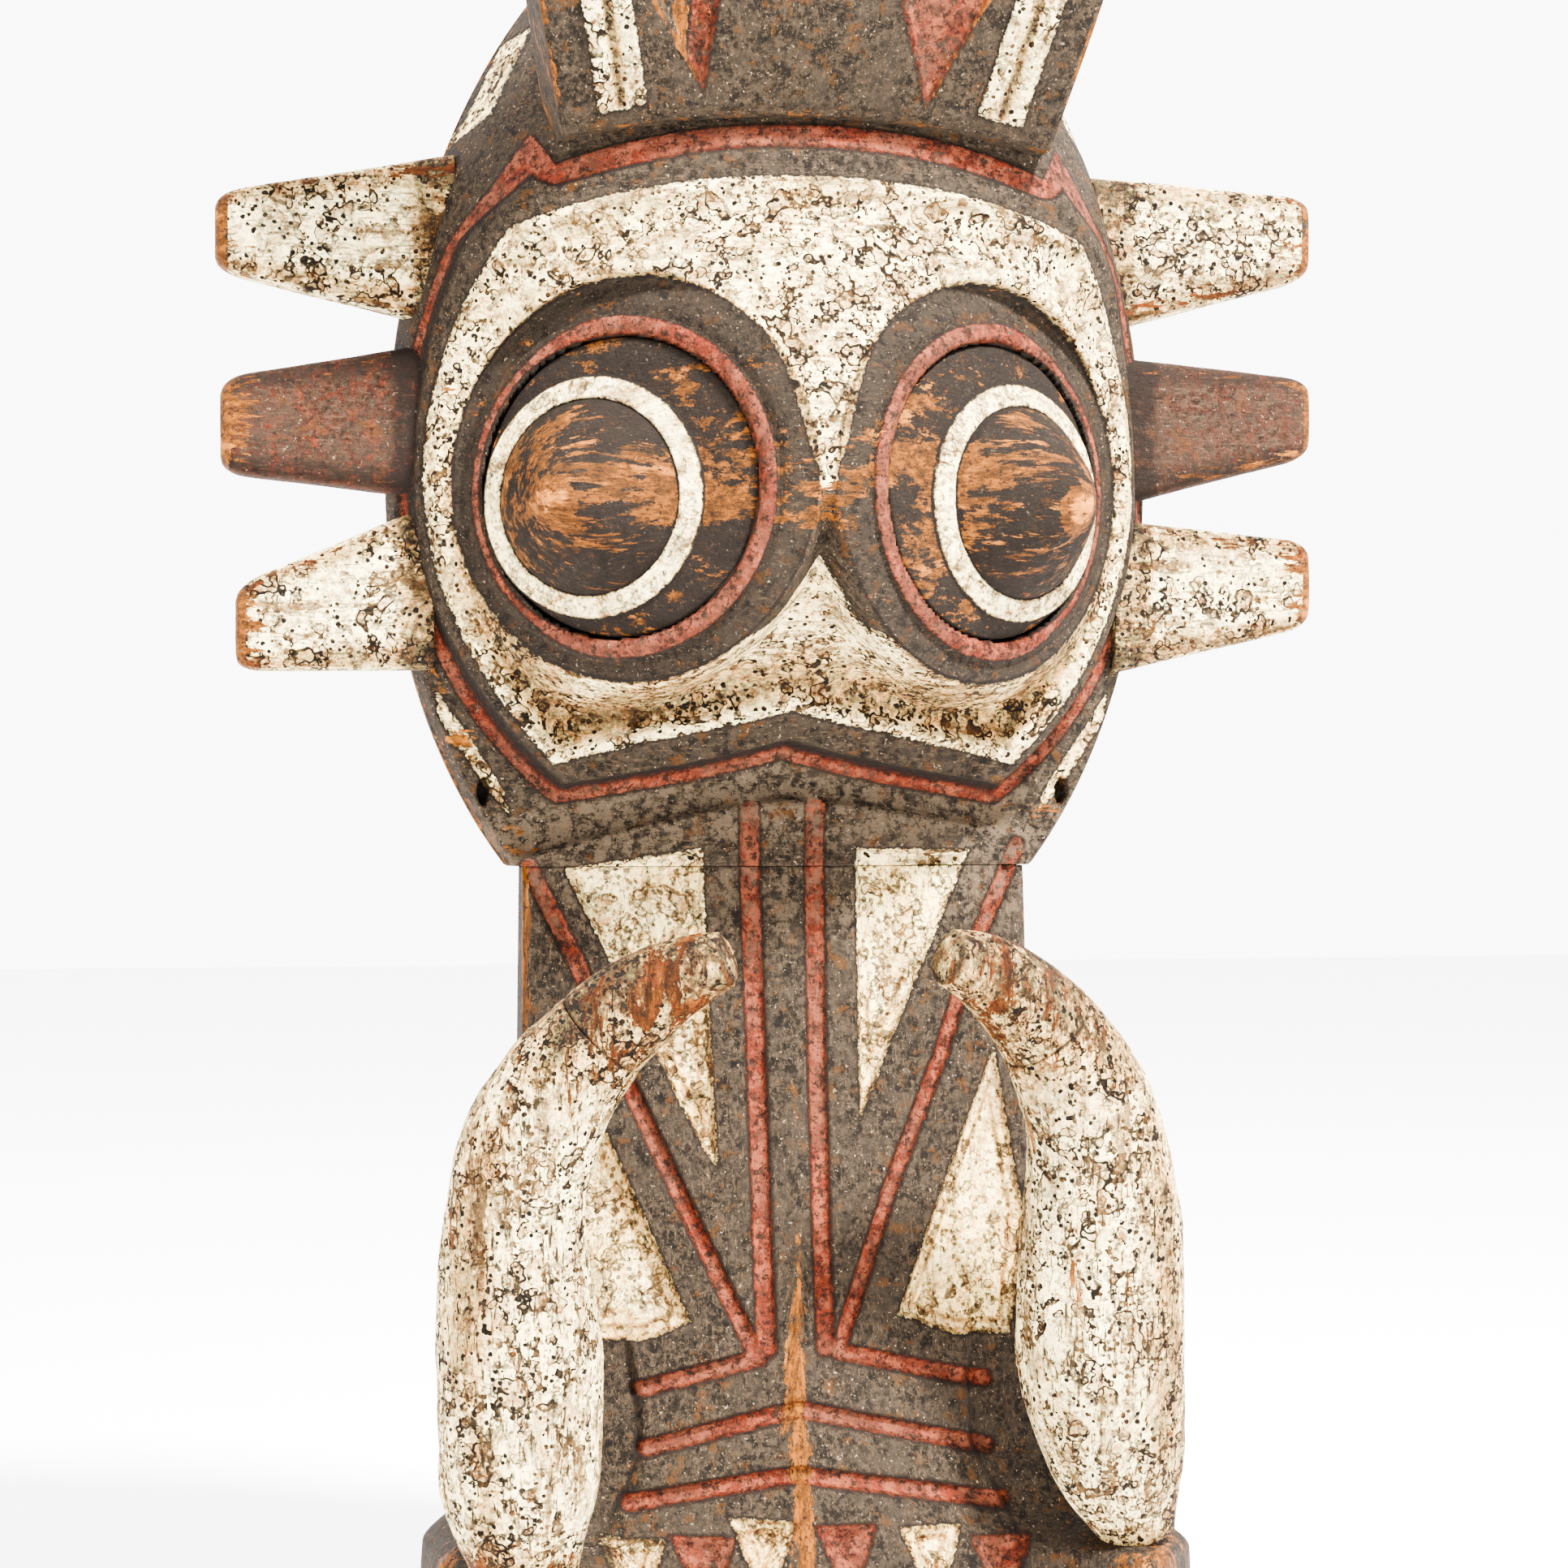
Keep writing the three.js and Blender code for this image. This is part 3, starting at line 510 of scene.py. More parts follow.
def soiled_and_shaded(n, colour, light, bare, ragged):
    """Soiling and painted shade in the hollows, creases, grooves and slots: stains on light paint, soot-dark
    on everything but worn wood.
    """
    grime_and_shade_share = n.times(n.field("dirt"), n.ramp(n.noise(3, 6, 0.75), 0.3, 0.6, 0.6, 1.35))
    stain_and_shade = n.ramp(n.times(grime_and_shade_share, n.plus(n.times(ragged, 3.2), 1.0)), 0.06, 0.5, 0, 0.85)
    tint = n.mix(n.ramp(n.noise(7, 5, 0.7), 0.46, 0.58), GREY_STAIN_AND_SHADE, RUSTY_STAIN_AND_SHADE)
    colour = n.mix(n.times(stain_and_shade, light), colour, tint, "MULTIPLY")
    # Soot-dark where the soiling field is high: soot, and painted shade in creases, grooves, slots and
    # recesses.
    soot = n.times(n.ramp(grime_and_shade_share, 0.35, 1.0, 0, 0.9), n.rest(n.times(bare, 0.6)))
    return n.mix(soot, colour, shade(46, 37, 31))


def painted_wood(name, grain=(1000, 1000, 160), spots=1.0, streaks=0.45, soot=0.35, warm=0.12):
    """Three pigments over wood. The mesh's fields say where: white and red are distances inside
    their areas in millimetres, the wear field is how worn the paint is, its highest values giving pale
    wood that on the eyes is a painted highlight, and the soiling field is how much soot and stain the
    place holds, with painted shade in creases, grooves, slots and recesses, or below nothing how much
    dust lies there, partly painted light lifting the shade under the chin."""
    n = Nodes(bpy.data.materials.new(name))
    along = n.scaled_coordinates(grain)
    ragged = n.plus(n.noise(2.6, 5, 0.75), -0.5)
    white_edge = n.total((n.field("white"), 1), (ragged, 4.2))
    red_edge = n.total((n.field("red"), 1), (ragged, 3.0))
    flaked = n.ramp(n.noise(4.4, 6, 0.78), 0.60, 0.63)
    white = n.times(n.ramp(white_edge, -0.2, 0.2), n.rest(flaked))
    sooty = n.ramp(n.plus(n.noise(5, 6, 0.78), soot - 0.5), 0.44, 0.56)
    red = n.times(n.ramp(red_edge, -0.3, 0.3), n.rest(n.times(sooty, 0.85)))
    white_outline = n.times(n.ramp(white_edge, -1.5, -0.4), n.ramp(white_edge, 0.5, 0.0))
    red_outline = n.times(n.ramp(red_edge, -1.4, -0.5), n.ramp(red_edge, 0.5, 0.0))

    colour = n.mix(red, black_pigment(n, along), red_pigment(n))
    # Paler dust where the soiling field is below nothing, partly painted light lifting the shade under the
    # chin.
    dust_and_painted_light_share = n.times(n.field("dirt"), n.ramp(n.noise(6, 6, 0.78), 0.42, 0.60, 0.1, 1.5))
    colour = n.mix(n.ramp(dust_and_painted_light_share, -0.1, -1.0, 0, 0.5), colour, shade(158, 140, 116))
    colour = n.mix(n.times(red_outline, 0.65), colour, shade(44, 32, 27))
    colour = n.mix(n.times(white_outline, 0.85), colour, shade(44, 34, 28))
    cream, pits = stained_cream(n, along, ragged, spots, streaks, warm)
    colour = n.mix(white, colour, cream)
    patchy = n.plus(n.plus(n.noise(3.6, 6, 0.75, along), n.noise(14, 5, 0.65, along)), -1.0)
    worn = n.total((n.field("bare"), 1), (patchy, 1.8))
    bare = n.ramp(worn, 0.48, 0.55)
    # Pale wood where the wear field runs highest: worn wood, and on the eyes' domes a painted highlight.
    wood = n.mix(n.ramp(worn, 1.1, 1.4), bare_wood(n, grain), shade(236, 192, 122))
    colour = n.mix(bare, colour, wood)
    colour = soiled_and_shaded(n, colour, n.math("MAXIMUM", white, red), bare, ragged)

    roughness = n.total((n.ramp(n.noise(3, 5, 0.65), 0.3, 0.7, 0.7, 0.92), 1), (bare, -0.2))
    height = n.total((n.noise(1.0, 4, 0.7), 0.5), (n.noise(4.0, 5, 0.7), 1.2), (white, 0.5),
                     (n.times(pits, white), -0.6), (n.noise(1.4, 4, 0.65, along), 1))
    return n.finish(colour, roughness, height, 0.9)


def peg_wood(name):
    """Plain whittled dowel, darker where hands and smoke have reached it."""
    n = Nodes(bpy.data.materials.new(name))
    wood = bare_wood(n, (1000, 1000, 150))
    colour = n.mix(n.ramp(n.noise(9, 4, 0.6), 0.45, 0.65, 0, 0.6), wood, shade(98, 70, 48))
    height = n.noise(1.5, 4, 0.65, n.scaled_coordinates((1000, 1000, 150)))
    return n.finish(colour, n.ramp(n.noise(5), 0.3, 0.7, 0.55, 0.75), height, 0.3)


# ---- head -----------------------------------------------------------------------------------


def rim_half_width_at(z):
    half_height = RIM_TOP - RIM_CENTRE_Z if z > RIM_CENTRE_Z else RIM_CENTRE_Z - RIM_BOTTOM
    return RIM_HALF_WIDTH * math.sqrt(max(0, 1 - ((z - RIM_CENTRE_Z) / half_height) ** 2))


def rim_reach(x, z):
    """0 at the middle of the head and 1 at the rim, squared."""
    half_height = np.where(z > RIM_CENTRE_Z, RIM_TOP - RIM_CENTRE_Z, RIM_CENTRE_Z - RIM_BOTTOM)
    return (x / RIM_HALF_WIDTH) ** 2 + ((z - RIM_CENTRE_Z) / half_height) ** 2


def side_wall_depth(x, z):
    """The domed side of the head behind its face plate."""
    return WALL_DEPTH * np.clip(1 - rim_reach(x, z), 0, 1) ** 0.6


def plate_depth(x, z):
    """The bulging face plate, flatter across at the brow and at the chin."""
    power = 1 - 0.55 * rise(40, 130, z) - 0.5 * rise(-60, -110, z)
    across = np.clip(1 - (x / PLATE_HALF_WIDTH) ** 2, 0, 1) ** power
    return lerp(PLATE_EDGE_DEPTH, profile(FACE_PROFILE, z), across)


def plate_outline():
    """The raised face plate: arched brow with a peak at each end, full cheeks, rising chin line."""
    return mirrored(np.vstack([
        bezier((0, 130), (40, 130), (70, 124), (97, 114)),
        bezier((97, 114), (100, 119), (102, 123), (105, 128), 4),
        bezier((105, 128), (133, 95), (148, 45), (148, -5)),
        bezier((148, -5), (148, -45), (132, -90), (89, -126)),
        bezier((89, -126), (60, -121), (30, -117), (0, -108)),
        [[0, -108]]]))


def white_outline():
    """The cream field inside the plate's black border."""
    return mirrored(np.vstack([
        bezier((0, 109), (40, 109), (80, 103), (114, 90)),
        bezier((114, 90), (134, 62), (145, 28), (144.5, -8)),
        bezier((144.5, -8), (143, -50), (122, -88), (93, -117)),
        bezier((93, -117), (60, -108), (30, -104), (0, -96)),
        [[0, -96]]]))


def disc_place(x, z, side):
    """For points of the front view: depth of an eye's disc plane, and place on the disc."""
    across = x * side - EYE_X
    depth = EYE_DEPTH - math.tan(EYE_TILT) * across
    out = across / math.cos(EYE_TILT)
    return depth, out, z - EYE_Z


def crease_height(x):
    """The arched edge under the chin where the neck turns into the flat of the muzzle."""
    return -131 - 18 * (np.abs(x) / 100) ** 1.4 + 0.04 * x


def nose_gap(z):
    """Half the width left between the goggles for the cream field: none at the bridge."""
    return profile([[-76, 44], [-63, 17.5], [-50, 8], [-38, 0], [-34, -4], [-18, -4], [-14, 0],
                    [-8.5, 2.4], [1.3, 6.4], [15, 10], [32, 15], [52, 26], [76, 50]], z)


def lacing_slot(x, z):
    """Positive inside the two slots in the rim that the costume's cord passes through."""
    return 1 - np.hypot((np.abs(x) - LACING_X) / LACING_HALF_WIDTH, (z - LACING_Z) / LACING_HALF_HEIGHT)


def carve_goggle(x, z, side, depth, red, black, dirt, bare):
    """One eye's tilted disc, with its red roll and the seat sunk for the boss, and its paint."""
    plane, out, up = disc_place(x, z, side)
    radius = np.hypot(out, up)
    boss = np.hypot(out - BOSS_OUT, up + BOSS_DOWN)
    half = x * side > 0
    hidden = rise(8, 44, out - BOSS_OUT)
    raised = -3.2 * rise(64, GOGGLE_RADIUS, radius)
    roll = np.sqrt(np.clip(1 - ((boss - RED_RING_RADIUS) / 4.3) ** 2, 0, 1))
    raised = raised + (2.2 - 1.2 * hidden) * roll
    raised = raised - 0.9 * bump(boss, 67.5, 1.5)
    raised = np.where(boss < BOSS_RADIUS + 0.4, -11, raised)
    disc = plane + raised / math.cos(EYE_TILT)
    skirt = 1.5 + 9.5 * rise(-6, -48, z)
    on_disc = rise(GOGGLE_RADIUS + skirt, GOGGLE_RADIUS - 1.2, radius) * half
    depth = lerp(depth, disc, on_disc)
    black = np.maximum(black, GOGGLE_RADIUS - radius)
    ring = 3.7 - np.abs(boss - RED_RING_RADIUS) - 2.3 * hidden
    red = np.where((radius < GOGGLE_RADIUS + 2) & half, ring, red)
    dirt = np.maximum(dirt, 0.55 * half * (radius < GOGGLE_RADIUS) * (ring < 0))
    # Painted shade: dark lines at the goggle's stepped edge, in the seat round the boss and in the groove
    # outside the red roll.
    dirt = np.maximum(dirt, 0.95 * bump(radius, GOGGLE_RADIUS - 0.4, 0.9) * half)
    dirt = np.maximum(dirt, 0.9 * bump(boss, BOSS_RADIUS, 1.1) + 0.7 * bump(boss, 67.2, 0.9))
    streaky = 0.12 + 0.36 * bump(z, -14, 20) * rise(70, -10, out)
    bare = np.where((radius < GOGGLE_RADIUS) & half, streaky * (1 - 0.6 * (ring > 0)), bare)
    return depth, red, black, dirt, bare


def head_surface(x, z):
    """Depth of the head's front at each point, and the fields that its paint follows."""
    to_plate = polygon_distance(x, z, plate_outline())
    to_white = polygon_distance(x, z, white_outline())
    wall, plate = side_wall_depth(x, z), plate_depth(x, z)
    ax = np.abs(x)
    low, top, cheek = rise(-40, -100, z), rise(85, 112, z), rise(-15, -75, z)

    # Behind the plate are the side wall and the neck, which turns into the flat of the muzzle.
    step = 4 + 9 * low
    behind = np.minimum(wall, plate - step)
    above_crease = z - crease_height(x)
    behind = behind - 4.0 * bump(above_crease, 8, 7) * rise(112, 100, ax)
    on_muzzle = rise(1.6, -1.6, above_crease) * rise(108, 101, ax)
    behind = lerp(behind, muzzle_depth(x, z), on_muzzle)

    # A lip runs round the cream field with a hollow inside it, and a sunk red line round the plate.
    ridge = bump(to_white, 3.2, 2.9)
    plate = plate + 3.0 * ridge - (2.0 + 6.5 * cheek) * bump(to_white, 14 + 4 * cheek, 7 + 4 * cheek)
    depth = lerp(behind, np.minimum(wall + 2, plate), rise(-1.3, 1.5, to_plate))
    red_middle, red_half = -3.4 + 8.2 * top, 1.5 + 3.1 * top + 1.6 * low
    red = red_half - np.abs(to_plate - red_middle)
    depth = depth - 1.5 * rise(-1, 2, red)
    # Painted shade: a dark line along the plate's stepped edge and along the crease below the chin; stains
    # and painted shade in the hollow inside the lip.
    dirt = 0.95 * bump(to_plate, -0.3 + 10 * top, 1.1 + 0.9 * low)
    dirt = dirt + 0.55 * bump(to_white, 13 + 3 * cheek, 6 + 2 * cheek) * cheek
    dirt = dirt + 0.30 * bump(to_white, 10, 4) * rise(60, -10, z) + 0.15 * bump(above_crease, 3.5, 4) * low
    bare = 0.12 * ridge

    # Black goggles meet at the rubbed bridge of the nose and leave the cream field open elsewhere.
    black = np.full(np.shape(x), -99.0)
    for side in (-1, 1):
        depth, red, black, dirt, bare = carve_goggle(x, z, side, depth, red, black, dirt, bare)
    nose = ax - nose_gap(z)
    black = np.where((z > -14) & (ax < 50), np.minimum(black, nose), black)
    black = np.where((z <= -14) & (z > -76) & (ax < 50), np.maximum(black, nose), black)
    bridge = bump(z, -20, 13) * bump(x, 0, 16)
    bare = np.maximum(bare, 0.56 * bridge)

    # The cream field, the facets on the sides, and on the neck the muzzle's own lines.
    white = np.minimum(to_white, -black)
    facet, facet_depth = side_triangles(x, z)
    white = np.maximum(white, facet)
    depth = depth - facet_depth
    carved_red, carved_white, cut = muzzle_decoration(x, z)
    neck = (to_plate < -8) & (above_crease < 0.5)
    red = np.where(neck, carved_red, red)
    white = np.where(neck, carved_white, white)
    depth = depth - np.where(neck, cut, 0)

    # The lacing slots, painted dark inside as shade, the worn rim, and paler dust along the crease below the
    # chin, partly painted light lifting the shade under the chin's ledge.
    slot = lacing_slot(x, z)
    depth = depth - 9 * rise(-0.1, 0.25, slot)
    dirt = np.maximum(dirt, 1.0 * rise(-0.25, 0.0, slot))
    bare = np.maximum(bare, 0.42 * rise(0.955, 1.0, rim_reach(x, z)))
    bare = np.maximum(bare, 0.34 * bump(rim_reach(x, z), 0.9, 0.08) * rise(60, -60, z) * (to_plate < -9))
    red = np.where(white > 0.5, np.minimum(red, -1), red)
    # Dust below the chin, partly painted light that lifts the shade under its ledge.
    dust = 0.9 * rise(-5, -10, to_plate) * bump(above_crease, 2, 22) * low
    return depth, white, red, bare, dirt - dust


def side_triangles(x, z):
    """Long cream facets cut into the side of the head, above and below the spikes."""
    upper = [[101, 176], [111, 172], [126, 140], [138, 128], [131, 131], [118, 140]]
    lower = [[138, -88], [137, -98], [121, -122], [109, -137], [111, -128], [124, -108]]
    best = np.maximum(polygon_distance(np.abs(x), z, upper), polygon_distance(np.abs(x), z, lower))
    return best, 2.0 * rise(-0.8, 1.6, best)


def cavity_depth(x, z):
    """The hollow behind the face, a bowl that leaves the face thick enough."""
    reach = (x / CAVITY_HALF_WIDTH) ** 2 + ((z - CAVITY_CENTRE_Z) / CAVITY_HALF_HEIGHT) ** 2
    bowl = CAVITY_DEPTH * np.clip(1 - reach, 0, 1) ** 0.6
    return np.maximum(np.minimum(bowl, plate_depth(x, z) - FACE_THICKNESS), 0)


def disc_grid(n):
    """An even grid of the head's outline, sawn flat at its lower end."""
    s = np.linspace(-1, 1, n + 1)
    u, v = np.meshgrid(s, s)
    a, b = u * np.sqrt(1 - v * v / 2), v * np.sqrt(1 - u * u / 2)
    reach = np.maximum(np.hypot(a, b), 1e-9)
    half_height = np.where(b > 0, RIM_TOP - RIM_CENTRE_Z, RIM_CENTRE_Z - RIM_BOTTOM)
    drop = half_height * np.abs(b) / reach
    room = RIM_CENTRE_Z - HEAD_END_Z
    scale = np.where(b < 0, np.minimum(1, room / np.maximum(drop, 1e-9)), 1.0)
    return RIM_HALF_WIDTH * a * scale, RIM_CENTRE_Z + half_height * b * scale


def make_head(material, n):
    x, z = disc_grid(n)
    depth, white, red, bare, dirt = head_surface(x, z)
    flat = listed(x, depth, z)
    carved = 0.7 * wobble(flat, 38, 1) + 0.35 * wobble(flat, 9, 2)
    crust = 0.14 * wobble(flat, 3.0, 3)
    front = np.maximum(np.ravel(depth) + carved + crust, RIM_EDGE)
    front_points = listed(x, front, z)

    half = n // 2
    bx, bz = disc_grid(half)
    slot = rise(-0.1, 0.25, lacing_slot(bx, bz))
    hollow = cavity_depth(bx, bz) + 4 * slot
    back_flat = listed(bx, hollow, bz)
    hewn = (1.8 * facets(back_flat, 17, 5) + 0.5 * wobble(back_flat, 12, 6)) * rise(0, 6, hollow.ravel())
    back_points = listed(bx, np.maximum(0, hollow.ravel() - hewn), bz)

    first = len(front_points)
    faces = grid_faces(n + 1, n + 1) + grid_faces(half + 1, half + 1, first, flip=True)
    outer, inner = border(n + 1, n + 1), border(half + 1, half + 1) + first
    for k in range(len(inner)):
        a, b, c = outer[2 * k], outer[2 * k + 1], outer[(2 * k + 2) % len(outer)]
        d, e = inner[k], inner[(k + 1) % len(inner)]
        faces += [[b, a, d], [b, d, e], [b, e, c]]
    points = np.vstack([front_points, back_points])
    # On the back the soiling field is higher deeper in the hollow and in the slots: painted shade.
    fields = joined_fields((len(front_points), len(back_points)),
                           white=(white, -FAR), red=(red, -FAR), bare=(bare, 0.66),
                           dirt=(dirt, 0.3 + 0.3 * rise(5, 60, hollow) + slot))
    return make_piece("carved_head", points, outward(points, faces), ["face_shell"],
                      material, fields)


# ---- eyes -----------------------------------------------------------------------------------


def make_eye(side, material, rings_count, around):
    """A turned boss whose domed pupil sits low and to the outside, rubbed down to the wood, with a pale
    painted highlight near its tip.
    """
    # Share of the way from seat to dome, radius, level, and how far the ring has moved to the dome.
    keys = np.array([[0, BOSS_RADIUS, BOSS_SEAT, 0], [0.05, BOSS_RADIUS, -1.6, 0], [0.08, 56.9, -0.4, 0.02],
                     [0.12, 55.0, 0.2, 0.1], [0.27, RING_OUTER + 1.2, 2.2, 1], [0.29, RING_OUTER, 3.6, 1],
                     [0.37, RING_INNER + 0.6, 6.4, 1], [0.385, RING_INNER - 0.4, 5.6, 1],
                     [0.41, RING_INNER - 1.6, 8.2, 1]])
    s = np.linspace(0, 1, rings_count)
    radius, level, shift = (np.interp(s, keys[:, 0], keys[:, c]) for c in (1, 2, 3))
    dome_from, edge, edge_level = keys[-1, :3]
    on_dome = s > dome_from
    fall = (s - dome_from) / (1 - dome_from)
    radius = np.where(on_dome, edge * (1 - fall) + 0.2, radius)
    cone = edge_level + (DOME_HEIGHT - edge_level) * (1 - np.clip(radius / edge, 0, 1) ** 1.4)
    level = np.where(on_dome, np.where(radius < 5, cone - 0.06 * (5 - radius) ** 2, cone), level)
    angle = turn(around)[None, :]
    radius, level, shift = radius[:, None], level[:, None], shift[:, None]
    out = radius * np.cos(angle) + DOME_OUT * shift + BOSS_OUT
    up = radius * np.sin(angle) - DOME_DOWN * shift - BOSS_DOWN
    level = np.broadcast_to(level, out.shape)
    local = listed(out, level, up)
    lumps = (0.45 * wobble(local, 26, 11 + side) + 0.18 * wobble(local, 6, 13 + side)).reshape(out.shape)
    out, lifted = out + 0.3 * lumps, level + lumps
    sin, cos = math.sin(EYE_TILT), math.cos(EYE_TILT)
    x = side * (EYE_X + out * cos + lifted * sin)
    depth = EYE_DEPTH - out * sin + lifted * cos
    z = EYE_Z + up
    points, faces = capped_rings(np.stack([x, depth, z], -1))
    dome = np.hypot(out - BOSS_OUT - DOME_OUT, up + BOSS_DOWN + DOME_DOWN)
    white = np.minimum(RING_OUTER + 0.4 - dome, dome - RING_INNER)
    streaky = 0.28 + 0.26 * bump(EYE_Z + up, -10, 22) + 0.06 * rise(10, -40, out)
    # A pale painted highlight a little below the dome's tip, given as the highest wear.
    from_highlight = np.hypot(out - BOSS_OUT - DOME_OUT, up + BOSS_DOWN + DOME_DOWN + 3)
    bare = np.maximum(streaky, 1.25 * rise(15, 4, from_highlight))
    bare = np.where(white > -0.6, 0.0, bare)
    # Painted shade: dark lines at the white ring's two steps and on the part sunk into the seat; the black
    # paint darker all over, and towards the outside beyond the ring.
    dirt = 0.6 * bump(dome, RING_INNER - 0.6, 0.8) + 0.6 * bump(dome, RING_OUTER + 1.0, 0.9)
    dirt = dirt + 0.8 * (white < 0)
    dirt = dirt + 0.6 * (level < -2) + 0.5 * rise(6, 40, out - BOSS_OUT - DOME_OUT) * (dome > RING_OUTER)
    fields = tube_fields(white=white, red=0 * white - FAR, bare=bare, dirt=dirt)
    side_name = "left" if side < 0 else "right"
    return make_piece(f"eye_boss_{side_name}", points, faces, [f"eye_{side_name}"],
                      material, fields)


# ---- spikes ---------------------------------------------------------------------------------

# Heights of the root and of the tip, half the thickness at each, and how far out the tip reaches.
SPIKES = {
    "left_upper": (91, 93, 35, 15.5, 225), "left_middle": (19.5, 16.5, 30.5, 19, 223),
    "left_lower": (-46.5, -63.5, 33.5, 17, 217), "right_upper": (92, 102, 33, 17, 225),
    "right_middle": (20, 27, 31, 16.5, 225), "right_lower": (-48, -42, 32, 18, 225),
}
SPIKE_DEPTH, SPIKE_ROOT_HALF_DEPTH, SPIKE_TIP_HALF_DEPTH = 15, 13.5, 10.5
SPIKE_HOUSING = 14


def make_spike(name, material, stations, around):
    """A tapered square-sectioned spike with soft corners and a blunt end worn to the wood."""
    root_z, tip_z, root_half, tip_half, tip_x = SPIKES[name]
    side = -1 if name.startswith("left") else 1
    number = sorted(SPIKES).index(name)
    root_x = rim_half_width_at(root_z) - SPIKE_HOUSING
    s = np.linspace(0, 1, stations) ** 0.92
    blunt = np.sqrt(np.clip(1 - np.clip((s - 0.86) / 0.14, 0, 1) ** 2.4, 0, 1))
    half = (lerp(root_half, tip_half, s) * (0.66 + 0.34 * blunt))[:, None]
    half_depth = (lerp(SPIKE_ROOT_HALF_DEPTH, SPIKE_TIP_HALF_DEPTH, s) * (0.5 + 0.5 * blunt))[:, None]
    angle = turn(around)[None, :]
    cos, sin = np.cos(angle), np.sin(angle)
    roundness = 0.5
    depth = SPIKE_DEPTH + half_depth * np.sign(cos) * np.abs(cos) ** roundness
    z = lerp(root_z, tip_z, s)[:, None] + half * np.sign(sin) * np.abs(sin) ** roundness
    x = np.broadcast_to((root_x + (tip_x - root_x) * s)[:, None] + 0 * angle, z.shape)
    points = np.stack([side * x, depth, z], -1)
    flat = points.reshape(-1, 3)
    lumps = (0.9 * wobble(flat, 30, 20 + number) + 0.25 * wobble(flat, 7, 30 + number)).reshape(z.shape)
    inward = 1 - 0.014 * np.clip(lumps + 0.6, 0, 2)
    points[..., 1] = SPIKE_DEPTH + (points[..., 1] - SPIKE_DEPTH) * inward
    centre = lerp(root_z, tip_z, s)[:, None]
    points[..., 2] = centre + (points[..., 2] - centre) * inward
    points[..., 0] = side * np.minimum(np.abs(points[..., 0]), tip_x - 0.6 * np.clip(lumps, 0, 1))
    corner = np.abs(cos * sin) * 2 + 0 * s[:, None]
    end = rise(0.935, 0.965, s)[:, None] + 0 * angle
    near_end = rise(0.72, 0.95, s)[:, None] + 0 * angle
    bare = np.maximum(0.85 * end, (0.30 + 0.24 * near_end) * rise(0.7, 1.0, corner))
    bare = np.maximum(bare, 0.44 * near_end)
    painted = lerp(FAR, -FAR, end)
    red = name.endswith("middle")
    # Darker at the root, where the spike meets the head, as painted shade; darker too along the corners, all
    # over the red spikes and in a ring where the paint ends.
    dirt = 0.5 * rise(0.22, 0.12, s)[:, None] + 0.34 * rise(0.5, 1.0, corner) + (0.32 if red else 0.10)
    dirt = dirt + 0.4 * bump(s, 0.965, 0.012)[:, None]
    capped, faces = capped_rings(points)
    unpainted = 0 * z - FAR
    fields = tube_fields(white=unpainted if red else painted, red=painted if red else unpainted,
                         bare=bare, dirt=dirt)
    return make_piece(f"carved_spike_{name}", capped, faces, [f"spike_{name}"],
                      material, fields)


# ---- crest ----------------------------------------------------------------------------------


def crest_front_depth(z):
    """The crest leans forward as it rises, and less so towards its top."""
    up = z - CREST_FOOT_Z
    return 90 + 0.62 * up - 0.0013 * up * up


def crest_thickness(z):
    return lerp(CREST_FOOT_THICKNESS, CREST_TOP_THICKNESS, (z - CREST_FOOT_Z) / (CREST_TOP_Z - CREST_FOOT_Z))


def even_steps(points, count):
    """The points of a line, spaced evenly along it."""
    points = np.asarray(points, float)
    run = np.concatenate([[0], np.cumsum(np.hypot(*np.diff(points, axis=0).T))])
    at = np.linspace(0, run[-1], count)
    return np.stack([np.interp(at, run, points[:, 0]), np.interp(at, run, points[:, 1])], -1)


def crest_patch(across, up):
    """A grid over the crest's front view, from its arched foot to the edge of its two ears."""
    outer = np.vstack([bezier((96, CREST_FOOT_Z), (107, 165), (116, 200), (122, 235), 30),
                       bezier((122, 235), (126, 262), (120, 282), (113, 297), 12), [[113, 297]]])
    ear = np.vstack([bezier((113, 297), (108, 305), (104, 309), (98, CREST_TOP_Z), 8),
                     bezier((98, CREST_TOP_Z), (70, 300), (45, 268), (34, 238), 30),
                     bezier((34, 238), (26, 228), (12, 229), (0, 229), 12), [[0, 229]]])
    arch = CREST_FOOT_MIDDLE_Z - CREST_FOOT_Z
    radius = (CREST_HALF_WIDTH ** 2 + arch ** 2) / (2 * arch)
    bottom_x = np.linspace(-CREST_HALF_WIDTH, CREST_HALF_WIDTH, across)
    bottom = np.stack([bottom_x, CREST_FOOT_MIDDLE_Z - radius + np.sqrt(radius ** 2 - bottom_x ** 2)], -1)
    right = even_steps(outer, up)
    left = right * [-1, 1]
    top = even_steps(np.vstack([ear * [-1, 1], ear[::-1][1:]]), across)
    u = np.linspace(0, 1, across)[None, :, None]
    v = np.linspace(0, 1, up)[:, None, None]
    corners = ((1 - u) * (1 - v) * bottom[0] + u * (1 - v) * bottom[-1]
               + (1 - u) * v * top[0] + u * v * top[-1])
    grid = (1 - v) * bottom[None] + v * top[None] + (1 - u) * left[:, None] + u * right[:, None] - corners
    outline = np.vstack([bottom, right[1:], top[::-1][1:], left[::-1][1:-1]])
    return grid, outline


